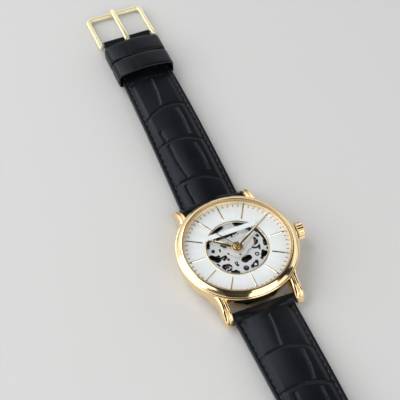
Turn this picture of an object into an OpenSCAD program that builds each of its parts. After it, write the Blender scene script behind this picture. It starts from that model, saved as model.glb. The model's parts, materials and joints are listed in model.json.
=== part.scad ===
// Skeleton wristwatch on a padded leather strap, lying open on its back.
// Millimetres. +Z is up through the dial, +Y points to 12 o'clock and +X to the crown.
// The origin is the centre of the case back, on the surface that the watch rests on.

/* [Case] */
// Diameter of the case middle
case_d = 42; // [40:0.5:44]
// Step from the case's rim in to the bezel
rim_step = 0.4; // [0.3:0.05:0.6]
// Width of the bezel's polished slope, seen from above
bezel_w = 2.15; // [1.9:0.05:2.5]
// Height of the bezel's slope
bezel_rise = 1.35; // [1:0.05:1.6]
// Distance between the lugs
lug_gap = 21.8; // [20:0.2:22.4]
// Width of a lug
lug_w = 3.5; // [3:0.1:4]
// Reach of a lug past the case's edge
lug_reach = 3.8; // [3:0.1:5]
// Radius of the hollow sweep from the case into a lug
lug_sweep_r = 8.5; // [7:0.5:11]
// Height of the spring bar's axis at the lugs
bar_z = 2.6; // [2.5:0.1:2.9]

/* [Case back] */
// Thickness of the case back's flange
back_flange_t = 1.5; // [1.4:0.1:1.8]
// Thickness of the glass in the back
back_glass_t = 1.2; // [1:0.1:1.4]
// Diameter of the glass in the back
back_glass_d = 26; // [24:0.5:28]

/* [Dial] */
// Width of the dial's ring, from the inner flange in to the opening
chapter_w = 7.1; // [6.6:0.1:7.8]
// Thickness of the dial
dial_t = 0.45; // [0.4:0.05:0.6]
// Height of the inner flange above the dial
flange_h = 1.5; // [1.4:0.1:1.8]
// Thickness of the crystal
crystal_t = 1.1; // [0.9:0.1:1.4]
// Length of an hour baton
baton_l = 4.7; // [4:0.1:5]
// Width of an hour baton
baton_w = 0.5; // [0.35:0.05:0.7]
// Width of the plain bar across the opening
bar_plate_w = 1.8; // [1.4:0.1:2.2]

/* [Hands] */
// Length of the hour hand from the centre
hour_hand_l = 10.4; // [9:0.1:11]
// Length of the minute hand from the centre
minute_hand_l = 15.2; // [14:0.1:16]
// Length of the second hand from the centre
second_hand_l = 15.6; // [14:0.1:16.4]
// Width of the hour hand
hour_hand_w = 1.7; // [1.2:0.1:2]
// Width of the minute hand
minute_hand_w = 1.2; // [0.9:0.1:1.5]

/* [Movement] */
// Diameter of the movement
movement_d = 25.8; // [25.6:0.1:27]
// Thickness of the main plate
plate_t = 1.1; // [1:0.05:1.3]
// Thickness of the bridges
bridge_t = 0.9; // [0.8:0.05:1.1]
// Thickness of the rotor's weight
rotor_t = 1.2; // [1:0.05:1.3]
// Radial width of the rotor's weight
rotor_weight_w = 3.2; // [2.6:0.1:4]
// Outer radius of the balance wheel
balance_r = 4.2; // [3.6:0.1:4.3]

/* [Crown] */
// Diameter of the crown
crown_d = 6; // [5.6:0.1:6.8]
// Length of the crown
crown_l = 2.9; // [2.7:0.1:3.6]
// Number of flutes round the crown
crown_flutes = 20; // [16:1:26]
// Travel of the crown when it is pulled out
crown_pull = 0.8; // [0.6:0.05:0.9]

/* [Strap] */
// Width of the strap at the buckle
strap_end_w = 18.9; // [17.5:0.1:19.4]
// Thickness of the strap at the lugs
strap_lug_t = 3.8; // [3.4:0.1:4]
// Thickness of the strap at the buckle
strap_end_t = 2.4; // [2.2:0.1:2.8]
// Length of the 12 o'clock half, from spring bar to buckle bar
strap_12_l = 86; // [80:1:92]
// Length of the 6 o'clock half, from spring bar to tip
strap_6_l = 114; // [108:1:120]
// Rise of the 12 o'clock half above the surface
arch_12 = 2.6; // [1.8:0.1:3]
// Rise of the 6 o'clock half above the surface
arch_6 = 4.2; // [3:0.1:5]
// Length of each keeper along the strap
keeper_l = 8; // [7:0.1:8.6]
// Diameter of the holes in the strap
strap_hole_d = 2; // [1.6:0.1:2.2]
// Number of holes in the strap
strap_holes = 7; // [5:1:8]

/* [Buckle] */
// Length of the buckle from its bar to its outer edge
buckle_l = 17; // [16:0.5:19]
// Width of the buckle's wire
buckle_wire = 1.8; // [1.6:0.1:2]
// Thickness of the buckle's wire
buckle_t = 1.7; // [1.5:0.1:1.9]
// Width of the tongue
tongue_w = 1.9; // [1.6:0.1:2.2]

/* [Hidden] */
$fn = 96;

// Colours
gold = "gold";
rhodium = "gainsboro";
brass = "goldenrod";
steel = "silver";
leather = "#15161a";

// Clearances
fit = 0.02;        // between round pieces that are pressed or stuck together
run = 0.05;        // radial clearance of what turns or slides
play = 0.2;        // between pieces that pass each other
overlap = 0.01;    // by which a cut runs past the face it opens

// Radii of the case, from the outside in
case_r = case_d / 2;
bezel_r = case_r - rim_step;
bezel_bore_r = bezel_r - bezel_w;
gasket_w = 0.35;
crystal_r = bezel_bore_r - gasket_w - 2 * fit;
ledge_w = 0.4;
seal_w = 0.5;
seal_h = 0.4;
flange_r = bezel_bore_r - run;
case_bore_r = flange_r - ledge_w;
dial_r = case_bore_r - 0.1;
dial_view_r = dial_r - ledge_w;
movement_r = movement_d / 2;
opening_r = dial_view_r - chapter_w;

// Heights, from the surface up
rotor_z = back_glass_t + 2 * play;
rotor_top = rotor_z + rotor_t;
ratchet_z = rotor_top + play;
ratchet_t = 0.5;
bridge_z = ratchet_z + ratchet_t + run;
train_z = bridge_z + bridge_t;
train_h = 1.4;
plate_z = train_z + train_h;
motion_z = plate_z + plate_t;
motion_h = 0.5;
dial_z = motion_z + motion_h;
dial_top = dial_z + dial_t;
case_top = dial_top + 0.8;
flange_top = dial_top + flange_h;
crystal_top = flange_top + crystal_t;
bezel_low = case_top + 0.2;
bezel_top = bezel_low + bezel_rise;
case_low = back_flange_t + 0.05;
stem_z = train_z + 0.45;

// Lugs and spring bars
lug_x = lug_gap / 2;
lug_tip_y = case_r + lug_reach;
bar_y = lug_tip_y - 2.4;
bar_r = 0.75;
bar_pivot_r = 0.4;
bar_pivot_l = 1;
lug_wall = 2 * run;
loop_r = strap_lug_t / 2;
recess_y = bar_y - loop_r - 0.45;
recess_top = bar_z + loop_r + 1.6;

// Strap
strap_lug_w = lug_gap - 2 * play;
strap_low_z = bar_z - loop_r;
strap_edge_t = 1.7;
pad_inset = 2.6;
bar_bore_r = bar_r + run;
buckle_bar_r = 0.75;
buckle_loop_r = strap_end_t / 2 + 0.1;
buckle_end_z = 1.5;
tip_z = 0.02;
hole_pitch = 6.5;
first_hole = 31.4;
plan_h = 2 * (arch_6 + 4 * strap_lug_t);    // taller than the strap, for its plan

// Buckle, in its own frame: the bar's axis is the origin and the outer bar lies towards +Y
buckle_gap = strap_end_w + 4 * play;
buckle_w = buckle_gap + 2 * buckle_wire;
buckle_bar_y = bar_y + strap_12_l;
buckle_bar_z = buckle_end_z + buckle_loop_r;
buckle_tilt = asin((buckle_bar_z - buckle_t / 2 - 0.15) / buckle_l);
tongue_t = 1;
tongue_loop_r = buckle_bar_r + run + 0.6;
slot_w = tongue_w + 2 * play;
slot_l = tongue_loop_r + 1.6;

// Keepers
keeper_wall = 0.9;
keeper_back = 9.2;      // from the buckle's bar to the fixed keeper's middle
keeper_gap = 0.8;       // between the two keepers
keeper_travel = 14;     // of the free keeper, towards the lugs
keeper_fixed_s = strap_12_l - keeper_back;
keeper_free_s = keeper_fixed_s - keeper_l - keeper_gap;
keeper_far_s = keeper_free_s - keeper_travel;
keeper_w = strap_width(keeper_far_s, strap_12_l) + 2 * play;
keeper_h = 2 * strap_end_t + 0.5;

// Crown and its tube, along +X
tube_r = 1.6;
tube_bore_r = 0.9;
tube_collar_r = 2.3;
crown_x = case_r + 0.75;
crown_bore_r = 2;
crown_bore_l = crown_l - 1.3;
crown_wall = 0.8;
tube_end_x = crown_x + 1.2;
stem_r = 0.4;
winding_pinion_r = 0.85;
winding_pinion_l = 0.8;
sliding_pinion_r = 0.68;
sliding_pinion_l = 1;
sliding_groove_r = 0.57;
sliding_groove_w = 0.3;
lever_z = stem_z + stem_r + run;
lever_t = 0.25;

// The going train and the motion works: teeth and modules
barrel_teeth = 80;
second_pinion_teeth = 10;
barrel_m = 0.1;
second_teeth = 75;
third_pinion_teeth = 10;
second_m = 0.08;
third_teeth = 80;
fourth_pinion_teeth = 10;
third_m = 0.08;
fourth_teeth = 96;
escape_pinion_teeth = 8;
fourth_m = 0.066;
escape_teeth = 15;
escape_r = 1.9;
cannon_teeth = 12;
minute_teeth = 36;
motion_m = 0.14;
minute_pinion_teeth = 10;
hour_teeth = 40;
hour_m = motion_m * (cannon_teeth + minute_teeth) / (minute_pinion_teeth + hour_teeth);
crown_wheel_teeth = 30;
ratchet_teeth = 48;
winding_m = 0.14;
mesh_gap = 0.03;

// Where the wheels stand, seen from the dial side
barrel_p = [6.7, 5.3];
second_p = barrel_p
    + polar(centres(barrel_teeth, second_pinion_teeth, barrel_m), -95);
third_p = third_corner(
    second_p,
    centres(third_teeth, fourth_pinion_teeth, third_m),
    centres(second_teeth, third_pinion_teeth, second_m),
    -1
);
escape_p = polar(centres(fourth_teeth, escape_pinion_teeth, fourth_m), -168);
lever_a = -115;
fork_p = escape_p + polar(escape_r + 0.55, lever_a);
balance_p = fork_p + polar(3.2, lever_a);
minute_d = centres(cannon_teeth, minute_teeth, motion_m);
minute_p = third_corner(second_p, minute_d, minute_d, 1);
crown_wheel_p = barrel_p
    + polar(centres(ratchet_teeth, crown_wheel_teeth, winding_m), -65.3);
lever_arm = 1.7;
lever_x = movement_r - 1;
lever_p = [lever_x, -lever_arm];
winding_pinion_x = crown_wheel_p.x + 1.5;
sliding_pinion_x = winding_pinion_x - run - sliding_pinion_l;
stem_end_x = sliding_pinion_x - crown_pull - 0.5;
click_p = barrel_p + polar(4.9, 160);

// Angles of one tooth of each wheel, so that the wheels stand in mesh
second_pinion_a = mesh(barrel_p, second_p, 0, barrel_teeth, second_pinion_teeth);
third_pinion_a = mesh(second_p, third_p, 0, second_teeth, third_pinion_teeth);
fourth_pinion_a = mesh(third_p, [0, 0], 0, third_teeth, fourth_pinion_teeth);
escape_pinion_a = mesh([0, 0], escape_p, 0, fourth_teeth, escape_pinion_teeth);
minute_a = mesh([0, 0], minute_p, 0, cannon_teeth, minute_teeth);
second_drive_a = mesh(minute_p, second_p, minute_a, minute_teeth, cannon_teeth);
hour_a = mesh(minute_p, [0, 0], 0, minute_pinion_teeth, hour_teeth);
crown_wheel_a = mesh(barrel_p, crown_wheel_p, 0, ratchet_teeth, crown_wheel_teeth);

// Heights of the wheels
hand_t = 0.2;
pivot_r = 0.1;
arbor_r = 0.15;
drive_r = 0.3;
minute_post_r = 0.25;
barrel_arbor_r = 0.6;
barrel_pivot_r = 0.3;
lever_post_r = 0.2;
click_post_r = 0.3;
wheel_t = 0.18;
barrel_z = train_z + run;
barrel_h = 1.05;
barrel_drum_r = barrel_m * barrel_teeth / 2 - 0.2;
second_wheel_z = plate_z - 0.25;
third_wheel_z = train_z + 0.15;
fourth_wheel_z = train_z + 0.65;
escape_wheel_z = plate_z - 0.4;
balance_z = train_z + 0.4;
cannon_z = motion_z + run;
hour_wheel_z = cannon_z + 0.2;
hour_hand_z = dial_top + 0.35;
hand_gap = 0.15;
minute_hand_z = hour_hand_z + hand_t + hand_gap;
second_hand_z = minute_hand_z + hand_t + hand_gap;
centre_bore_r = 0.25;
centre_tube_r = 0.42;
cannon_pipe_r = 0.65;
hour_pipe_r = 0.95;
hour_hand_a = 54;
minute_hand_a = -61.5;
second_hand_a = 33;
motion_cover_r = 3.6;
motion_cover_t = 0.15;

bearing_r = 1.7;

// Pillars that carry the bridges, with a screw through each
pillar_r = 0.9;
screw_r = 0.32;
screw_head_r = 0.62;
barrel_pillars = [for (a = [12, 85]) polar(movement_r - 1.35, a)];
train_pillars = [for (a = [120, 163, -60]) polar(movement_r - 1.35, a)];
cock_foot = balance_p + polar(5.4, 135);
pallet_foot_l = 1.9;
pallet_feet = [for (s = [-1, 1]) fork_p + polar(pallet_foot_l * s, lever_a + 90)];
dial_screws = [[4, -7.2], [2, -8.4], [-0.4, -8.6], [-8, 1.9], [9.8, -3.6], [-3.6, 8.2]];

function polar(r, a) = [r * cos(a), r * sin(a)];
function centres(n1, n2, m) = (n1 + n2) * m / 2 + mesh_gap;

// The corner of a triangle with one corner at the centre, one at p, and sides a and b,
// to the left of the way to p (side = 1) or to its right (side = -1)
function third_corner(p, a, b, side) =
    let (
        d = norm(p),
        along = (d * d + a * a - b * b) / (2 * d),
        off = side * sqrt(a * a - along * along)
    )
    [p.x * along - p.y * off, p.y * along + p.x * off] / d;

// Angle of a tooth of the wheel at q, in mesh with the wheel at p that has a tooth at angle a
function mesh(p, q, a, np, nq) =
    let (
        line = atan2(q.y - p.y, q.x - p.x),
        part = (line - a) * np / 360
    )
    line + 180 + (part - floor(part) - 0.5) * 360 / nq;

// The strap's half at distance s from its spring bar, out of its length l
function strap_width(s, l) = strap_lug_w + (strap_end_w - strap_lug_w) * s / l;
function strap_bottom(s, l, rise, end_z) =
    strap_low_z + (end_z - strap_low_z) * s / l + rise * sin(180 * s / l);
function strap_thick(s) =
    let (u = min(1, s / 62))
    strap_end_t + (strap_lug_t - strap_end_t) * (1 - u * u * (3 - 2 * u));
function strap_12_bottom(s) = strap_bottom(s, strap_12_l, arch_12, buckle_end_z);
function strap_12_slope(s) = atan(strap_12_bottom(s + 0.5) - strap_12_bottom(s - 0.5));

// A point at t on the curve from p to r that bends towards q
function bend(p, q, r, t) =
    (1 - t) * (1 - t) * p + 2 * t * (1 - t) * q + t * t * r;

module ring(r_out, r_in, z0, z1) {
    translate([0, 0, z0])
        difference() {
            cylinder(r = r_out, h = z1 - z0);
            translate([0, 0, -overlap])
                cylinder(r = r_in, h = z1 - z0 + 2 * overlap);
        }
}

module disc(r, z0, z1) {
    translate([0, 0, z0])
        cylinder(r = r, h = z1 - z0);
}

// A round bar along +X from x0 to x1
module bar_x(r, x0, x1) {
    translate([x0, 0, 0])
        rotate([0, 90, 0])
            cylinder(r = r, h = x1 - x0);
}

// Children drawn in the YZ plane, as thick as w and centred on x = 0
module side_profile(w) {
    translate([-w / 2, 0, 0])
        rotate([90, 0, 90])
            linear_extrude(w)
                children();
}

module rounded_rect(w, l, r) {
    square([w - 2 * r, l], center = true);
    square([w, l - 2 * r], center = true);
    for (sx = [-1, 1], sy = [-1, 1])
        translate([sx * (w / 2 - r), sy * (l / 2 - r)])
            circle(r);
}

module gear_2d(teeth, m, a = 0) {
    r = teeth * m / 2;
    step = 360 / teeth;
    rotate(a)
        polygon([
            for (i = [0 : teeth - 1], k = [[-0.8, -0.27], [0.7, -0.1], [0.7, 0.1], [-0.8, 0.27]])
                polar(r + k[0] * m, (i + k[1]) * step)
        ]);
}

module pinion(teeth, m, z0, z1, a = 0) {
    translate([0, 0, z0])
        linear_extrude(z1 - z0)
            gear_2d(teeth, m, a);
}

// A spoked wheel with its teeth, pierced by a bore
module wheel(teeth, m, z, t, a, spokes, bore) {
    r = teeth * m / 2;
    translate([0, 0, z])
        linear_extrude(t)
            difference() {
                gear_2d(teeth, m, a);
                difference() {
                    circle(r - 3.5 * m);
                    circle(r * 0.25);
                    for (i = [0 : spokes - 1])
                        rotate(360 / spokes * i)
                            translate([0, -r * 0.05])
                                square([r, r * 0.1]);
                }
                circle(bore);
            }
}

// An arbor between the bridge and the plate, with a thin pivot at each end
module arbor(r) {
    disc(r, train_z + run, plate_z - run);
    disc(pivot_r, train_z - 0.3, plate_z + 0.3);
}

module lug_plan() {
    sweep_x = lug_x + lug_w + lug_sweep_r;
    sweep_y = sqrt(pow(case_r + lug_sweep_r, 2) - sweep_x * sweep_x);
    touch = [sweep_x, sweep_y] * case_r / (case_r + lug_sweep_r);
    translate([lug_x, touch.y / 2])
        square([lug_w, lug_tip_y - lug_w / 2 - touch.y / 2]);
    translate([lug_x + lug_w / 2, lug_tip_y - lug_w / 2])
        circle(lug_w / 2);
    difference() {
        translate([lug_x, touch.y])
            square([touch.x - lug_x, sweep_y - touch.y]);
        translate([sweep_x, sweep_y])
            circle(lug_sweep_r);
    }
}

// Side outline of a lug: its back falls from the rim to a blunt tip near the surface
module lug_side(drop = 0) {
    top = [for (t = [0 : 0.1 : 1])
        bend([case_r * 0.62, case_top - 0.3], [lug_tip_y - 2.2, case_top - 0.8],
            [lug_tip_y - 0.15, bar_z + 0.1], t) - [0, drop]];
    low = [for (t = [0 : 0.125 : 1])
        bend([lug_tip_y, bar_z - 0.9], [lug_tip_y - 0.6, 0.1],
            [case_r * 0.62, case_low + 0.4], t)];
    polygon(concat(top, low));
}

module lug() {
    intersection() {
        linear_extrude(case_top)
            lug_plan();
        translate([lug_x + 5, 0, 0])
            side_profile(14)
                lug_side();
    }
}

// The groove along a lug's back that parts its two strands
module lug_groove() {
    groove_w = 0.5;
    translate([lug_x + lug_w / 2, 0, 0])
        side_profile(groove_w)
            difference() {
                translate([case_r * 0.9, bar_z])
                    square([lug_tip_y - case_r * 0.9, case_top]);
                lug_side(0.6);
            }
}

module four_lugs() {
    for (mx = [0, 1], my = [0, 1])
        mirror([mx, 0, 0])
            mirror([0, my, 0])
                children();
}

module case_middle() {
    snap_r = bezel_bore_r + 0.75;
    color(gold)
        difference() {
            union() {
                rotate_extrude()
                    polygon([
                        [case_bore_r, case_low + seal_h],
                        [case_bore_r + seal_w, case_low + seal_h],
                        [case_bore_r + seal_w, case_low],
                        [case_r - 1.9, case_low],
                        [case_r - 1.3, case_low + 0.35],
                        [case_r - 0.5, case_low + 2.4],
                        [case_r - 0.12, case_low + 4.6],
                        [case_r, case_top - 1],
                        [case_r, case_top - 0.45],
                        [case_r - 0.12, case_top - 0.15],
                        [case_r - rim_step, case_top],
                        [snap_r, case_top],
                        [snap_r, case_top + 0.65],
                        [bezel_bore_r, case_top + 0.65],
                        [bezel_bore_r, dial_top],
                        [case_bore_r, dial_top],
                    ]);
                difference() {
                    four_lugs()
                        lug();
                    disc(case_r - 1.5, 0, case_top + 1);
                }
            }
            // room for the strap's end between the lugs
            for (s = [-1, 1])
                translate([-lug_x, s > 0 ? recess_y : -recess_y - 5, 0])
                    cube([lug_gap, 5, recess_top]);
            four_lugs()
                lug_groove();
            // blind holes for the spring bars
            for (s = [-1, 1])
                translate([0, s * bar_y, bar_z])
                    bar_x(bar_pivot_r + run, -lug_x - bar_pivot_l - 0.2, lug_x + bar_pivot_l + 0.2);
            // hole for the crown tube
            translate([0, 0, stem_z])
                bar_x(tube_r + fit, case_bore_r - 1, case_r + 1);
        }
}

module bezel() {
    snap_r = bezel_bore_r + 0.75 + fit;
    color(gold)
        rotate_extrude()
            polygon([
                [snap_r, case_top + run],
                [bezel_r - 0.25, case_top + run],
                [bezel_r, bezel_low],
                [bezel_r - 0.05, bezel_low + 0.12],
                [bezel_r - bezel_w * 0.4, bezel_low + bezel_rise * 0.62],
                [bezel_r - bezel_w * 0.72, bezel_low + bezel_rise * 0.92],
                [bezel_r - bezel_w * 0.88, bezel_top],
                [bezel_bore_r + fit, bezel_top - 0.04],
                [bezel_bore_r + fit, case_top + 0.67],
                [snap_r, case_top + 0.67],
            ]);
}

module crystal() {
    color("lightcyan", 0.3)
        rotate_extrude()
            polygon([
                [0, flange_top],
                [crystal_r, flange_top],
                [crystal_r, crystal_top - 0.35],
                [crystal_r - 0.25, crystal_top - 0.12],
                [crystal_r * 0.5, crystal_top - 0.03],
                [0, crystal_top],
            ]);
}

module crystal_gasket() {
    color("white")
        ring(crystal_r + fit + gasket_w, crystal_r + fit, flange_top, flange_top + 0.7);
}

module inner_flange() {
    color(gold)
        rotate_extrude()
            polygon([
                [dial_view_r, dial_top],
                [flange_r, dial_top],
                [flange_r, flange_top],
                [crystal_r - 0.1, flange_top],
            ]);
}

module dial() {
    color("white")
        ring(dial_r, opening_r, dial_z, dial_top);
}

module dial_opening_rim() {
    color("palegoldenrod")
        rotate_extrude()
            polygon([
                [opening_r, dial_top],
                [opening_r + 0.55, dial_top],
                [opening_r + 0.4, dial_top + 0.12],
                [opening_r, dial_top + 0.15],
            ]);
}

// One baton for each hour
module hour_batons() {
    start = dial_view_r - 1.1 - baton_l;
    color(gold)
        for (h = [0 : 11])
            rotate(-30 * h)
                translate([-baton_w / 2, start, dial_top])
                    cube([baton_w, baton_l, 0.22]);
}

// The plain bar that crosses the opening below 12, with a rivet at each end
module dial_bar() {
    y = opening_r * 0.65;
    half = sqrt(opening_r * opening_r - pow(y - bar_plate_w / 2, 2)) + 1.2;
    color("whitesmoke") {
        translate([-half, y - bar_plate_w / 2, dial_top + 0.15])
            cube([2 * half, bar_plate_w, 0.15]);
        for (s = [-1, 1])
            translate([s * (half - 0.6), y, 0])
                disc(0.3, dial_top, dial_top + 0.4);
    }
}

module case_back() {
    neck_r = case_bore_r - run;
    window_r = back_glass_d / 2 + 0.5;
    notches = 6;
    color(gold)
        difference() {
            rotate_extrude()
                polygon([
                    [window_r, 0],
                    [neck_r + 0.7, 0],
                    [neck_r + 1, 0.3],
                    [neck_r + 1, back_flange_t],
                    [neck_r, back_flange_t],
                    [neck_r, bridge_z - 0.6],
                    [neck_r - 1.2, bridge_z - 0.6],
                    [neck_r - 1.2, back_flange_t],
                    [window_r, back_flange_t],
                ]);
            for (i = [0 : notches - 1])
                rotate(360 / notches * i)
                    translate([neck_r - 1.5, 0, -overlap])
                        cylinder(r = 0.7, h = 0.6);
        }
}

module back_glass() {
    color("lightcyan", 0.3)
        disc(back_glass_d / 2, 0, back_glass_t);
}

module back_glass_gasket() {
    color("white")
        ring(back_glass_d / 2 + 0.5 - fit, back_glass_d / 2 + fit, 0.1, back_glass_t);
}

module case_back_gasket() {
    color("dimgray")
        ring(case_bore_r + seal_w - fit, case_bore_r + fit, back_flange_t, case_low + seal_h - fit);
}

module movement_holder() {
    holder_z = bridge_z - 0.6;
    color("lightgray")
        difference() {
            ring(dial_r, movement_r + fit, holder_z, dial_z);
            translate([0, 0, stem_z])
                bar_x(tube_r + play, movement_r - 1, dial_r + 1);
        }
}

module crown_tube() {
    color(gold)
        translate([0, 0, stem_z])
            difference() {
                union() {
                    bar_x(tube_r, case_bore_r - 0.1, tube_end_x);
                    bar_x(tube_collar_r, case_r - 0.15, case_r + 0.55);
                }
                bar_x(tube_bore_r, case_bore_r - 1, tube_end_x + 1);
                // the collar is hollowed to sit on the round case
                translate([0, 0, -stem_z])
                    difference() {
                        disc(case_r + fit, 0, case_top);
                        translate([0, 0, stem_z])
                            bar_x(tube_r, 0, case_r + 1);
                    }
            }
}

module at(p) {
    translate([p.x, p.y, 0])
        children();
}

// A window between two radii and two angles
module arc_window(r_in, r_out, a0, a1) {
    steps = 8;
    polygon(concat(
        [for (i = [0 : steps]) polar(r_out, a0 + (a1 - a0) * i / steps)],
        [for (i = [steps : -1 : 0]) polar(r_in, a0 + (a1 - a0) * i / steps)]
    ));
}

// A slot with round ends
module slot_window(p, q, r_p, r_q) {
    hull() {
        translate(p)
            circle(r_p);
        translate(q)
            circle(r_q);
    }
}

// A round window with a boss left in its middle on three arms
module boss_window(p, r_out, r_in, a) {
    translate(p)
        difference() {
            circle(r_out);
            circle(r_in);
            for (i = [0 : 2])
                rotate(a + 120 * i)
                    translate([0, -0.15])
                        square([r_out + 1, 0.3]);
        }
}

// The openings through the plate, which show the wheels beneath
module plate_windows() {
    arc_window(9.3, 10.9, 99, 125);
    arc_window(9.9, 11.2, 54, 76);
    arc_window(9.3, 10.9, -13, 1);
    arc_window(9.4, 11, 23, 33);
    arc_window(8.9, 10.3, -126, -107);
    polygon([[4.6, 6.4], [6.2, 7], [9, 7.2], [8.2, 8.2], [6.6, 8.1]]);
    polygon([[-5.4, 5.5], [-1.6, 5.4], [2.6, 6], [2.6, 6.6], [-5, 6.7]]);
    slot_window([0.4, -5], [2.2, -4.7], 0.95, 1.15);
    slot_window([-9.4, 0], [-7.8, -1.8], 0.9, 1.15);
    slot_window([-4.4, 3.1], [-3.1, 2], 0.5, 0.45);
    slot_window([7.4, -5.4], [8.3, -4.9], 1, 0.8);
    slot_window([-9.1, 4.9], [-8.7, 5.6], 0.9, 0.9);
    translate([-5, -1.5])
        circle(0.6);
    translate([-2.4, -6.3])
        circle(0.4);
    boss_window(second_p, 1.6, 0.85, 15);
    boss_window(balance_p, 1.5, 0.8, 100);
}

module main_plate() {
    color(rhodium)
        difference() {
            union() {
                disc(movement_r, plate_z, motion_z);
                // fixed tube that carries the cannon pinion
                disc(centre_tube_r, plate_z, minute_hand_z);
                ring(movement_r, movement_r - 0.8, plate_z, dial_z);
                // post that the setting lever turns on
                at(lever_p)
                    disc(lever_post_r, lever_z, plate_z + overlap);
            }
            disc(centre_bore_r, plate_z - 1, minute_hand_z + 1);
            translate([0, 0, plate_z - overlap])
                linear_extrude(plate_t + 2 * overlap)
                    plate_windows();
            at(second_p)
                disc(drive_r + run, plate_z - 1, motion_z + 1);
            at(minute_p)
                disc(minute_post_r + run, plate_z - 1, motion_z + 1);
            at(barrel_p)
                disc(barrel_pivot_r + run, plate_z - 1, motion_z + 1);
            for (p = [third_p, escape_p, fork_p, balance_p])
                at(p)
                    disc(0.5, plate_z - 1, motion_z + 1);
            for (p = dial_screws)
                at(p)
                    disc(screw_r + fit, motion_z - 0.6, motion_z + 1);
            for (p = concat(barrel_pillars, train_pillars, [cock_foot]))
                at(p)
                    disc(screw_r + fit, plate_z - 1, plate_z + 0.7);
        }
}

// The plate that covers the wheels behind the hands, on three feet
module motion_cover() {
    foot_r = 0.3;
    low = hour_wheel_z + 0.15 + run;
    feet = concat(
        [for (a = [-48, -176]) polar(motion_cover_r - foot_r - 0.1, a)],
        [minute_p + polar(motion_cover_r - 0.6, 62)]
    );
    color(rhodium) {
        difference() {
            translate([0, 0, low])
                linear_extrude(motion_cover_t) {
                    circle(motion_cover_r);
                    translate(minute_p)
                        circle(motion_cover_r - 0.15);
                }
            disc(hour_pipe_r + 2 * run, low - 1, low + 1);
            at([0, -2.75])
                disc(0.4, low - 1, low + 1);
            at(minute_p)
                disc(0.35, low - 1, low + 1);
        }
        for (p = feet)
            at(p)
                disc(foot_r, motion_z, low + motion_cover_t / 2);
    }
}

// Pillars under a bridge, and the holes through them for their screws
module pillars(points) {
    for (p = points)
        at(p)
            disc(pillar_r, train_z - overlap, plate_z);
}

module screw_holes(points) {
    for (p = points)
        at(p)
            disc(screw_r + fit, bridge_z - 1, plate_z + 1);
}

module jewel_holes(points) {
    for (p = points)
        at(p)
            disc(0.5, bridge_z - 1, train_z + 1);
}

// The movement's circle, cut by the line between the second and the third wheel
module bridge_side(side) {
    way = second_p - third_p;
    middle = (second_p + third_p) / 2;
    intersection() {
        circle(movement_r - 0.1);
        translate(middle)
            rotate(atan2(way.y, way.x))
                translate([side > 0 ? 0.1 : -30.1, -30])
                    square([30, 60]);
    }
}

module barrel_bridge() {
    color(rhodium)
        difference() {
            union() {
                translate([0, 0, bridge_z])
                    linear_extrude(bridge_t)
                        bridge_side(1);
                pillars(barrel_pillars);
                // post that the click turns on
                at(click_p)
                    disc(click_post_r, ratchet_z, bridge_z + overlap);
            }
            screw_holes(barrel_pillars);
            jewel_holes([second_p]);
            at(barrel_p)
                disc(barrel_arbor_r + run, bridge_z - 1, train_z + 1);
            at(crown_wheel_p)
                disc(crown_wheel_teeth * winding_m / 2 + 0.25, bridge_z - 1, train_z + 1);
            // room for the stem and its pinions
            translate([stem_end_x - play, -1.2, stem_z - 1])
                cube([movement_r, 2.4, 2]);
        }
}

module train_bridge() {
    color(rhodium)
        difference() {
            union() {
                translate([0, 0, bridge_z])
                    linear_extrude(bridge_t)
                        difference() {
                            bridge_side(-1);
                            translate(balance_p)
                                circle(balance_r + 0.5);
                            translate(cock_foot)
                                circle(2.2);
                        }
                pillars(train_pillars);
            }
            screw_holes(train_pillars);
            jewel_holes([[0, 0], third_p, escape_p]);
        }
}

module balance_cock() {
    arm_w = 2.4;
    color(rhodium)
        difference() {
            union() {
                translate([0, 0, bridge_z])
                    linear_extrude(bridge_t) {
                        translate(balance_p) {
                            circle(1.5);
                            rotate(135)
                                translate([0, -arm_w / 2])
                                    square([5.4, arm_w]);
                        }
                        translate(cock_foot)
                            circle(1.6);
                    }
                pillars([cock_foot]);
            }
            screw_holes([cock_foot]);
            jewel_holes([balance_p]);
        }
}

module pallet_bridge() {
    top = escape_wheel_z - run;
    color(rhodium)
        difference() {
            union() {
                translate([0, 0, top - 0.12])
                    linear_extrude(0.12)
                        translate(fork_p)
                            rotate(lever_a)
                                translate([-0.35, -pallet_foot_l])
                                    square([0.7, 2 * pallet_foot_l]);
                for (p = pallet_feet)
                    at(p)
                        disc(0.45, top - 0.12, plate_z);
            }
            at(fork_p)
                disc(pivot_r + fit, top - 1, top + 1);
        }
}

// A jewel with its hole, pressed into a plate of thickness t at height z
module jewel(z, t) {
    ring(0.5 - fit, pivot_r + fit, z, z + t);
}

module jewels() {
    plate_points = [third_p, escape_p, fork_p, balance_p];
    bridge_points = [[0, 0], second_p, third_p, escape_p, balance_p];
    color("crimson") {
        for (p = plate_points)
            at(p)
                jewel(plate_z + 0.1, 0.5);
        for (p = bridge_points)
            at(p)
                jewel(train_z - 0.5, 0.4);
    }
}

// A slotted screw whose head rests on the face at z and points the way of s
module screw(z, l, s) {
    head_t = 0.25;
    slot = 0.14;
    difference() {
        union() {
            disc(screw_r, s > 0 ? z - l : z - overlap, s > 0 ? z + overlap : z + l);
            disc(screw_head_r, s > 0 ? z : z - head_t, s > 0 ? z + head_t : z);
        }
        translate([-1, -slot / 2, s > 0 ? z + head_t / 2 : z - head_t - overlap])
            cube([2, slot, head_t / 2 + overlap]);
    }
}

module movement_screws() {
    color("steelblue") {
        for (p = concat(barrel_pillars, train_pillars, [cock_foot]))
            at(p)
                screw(bridge_z, bridge_t + train_h + 0.6, -1);
        for (p = dial_screws)
            at(p)
                screw(motion_z, 0.5, 1);
    }
}

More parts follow.
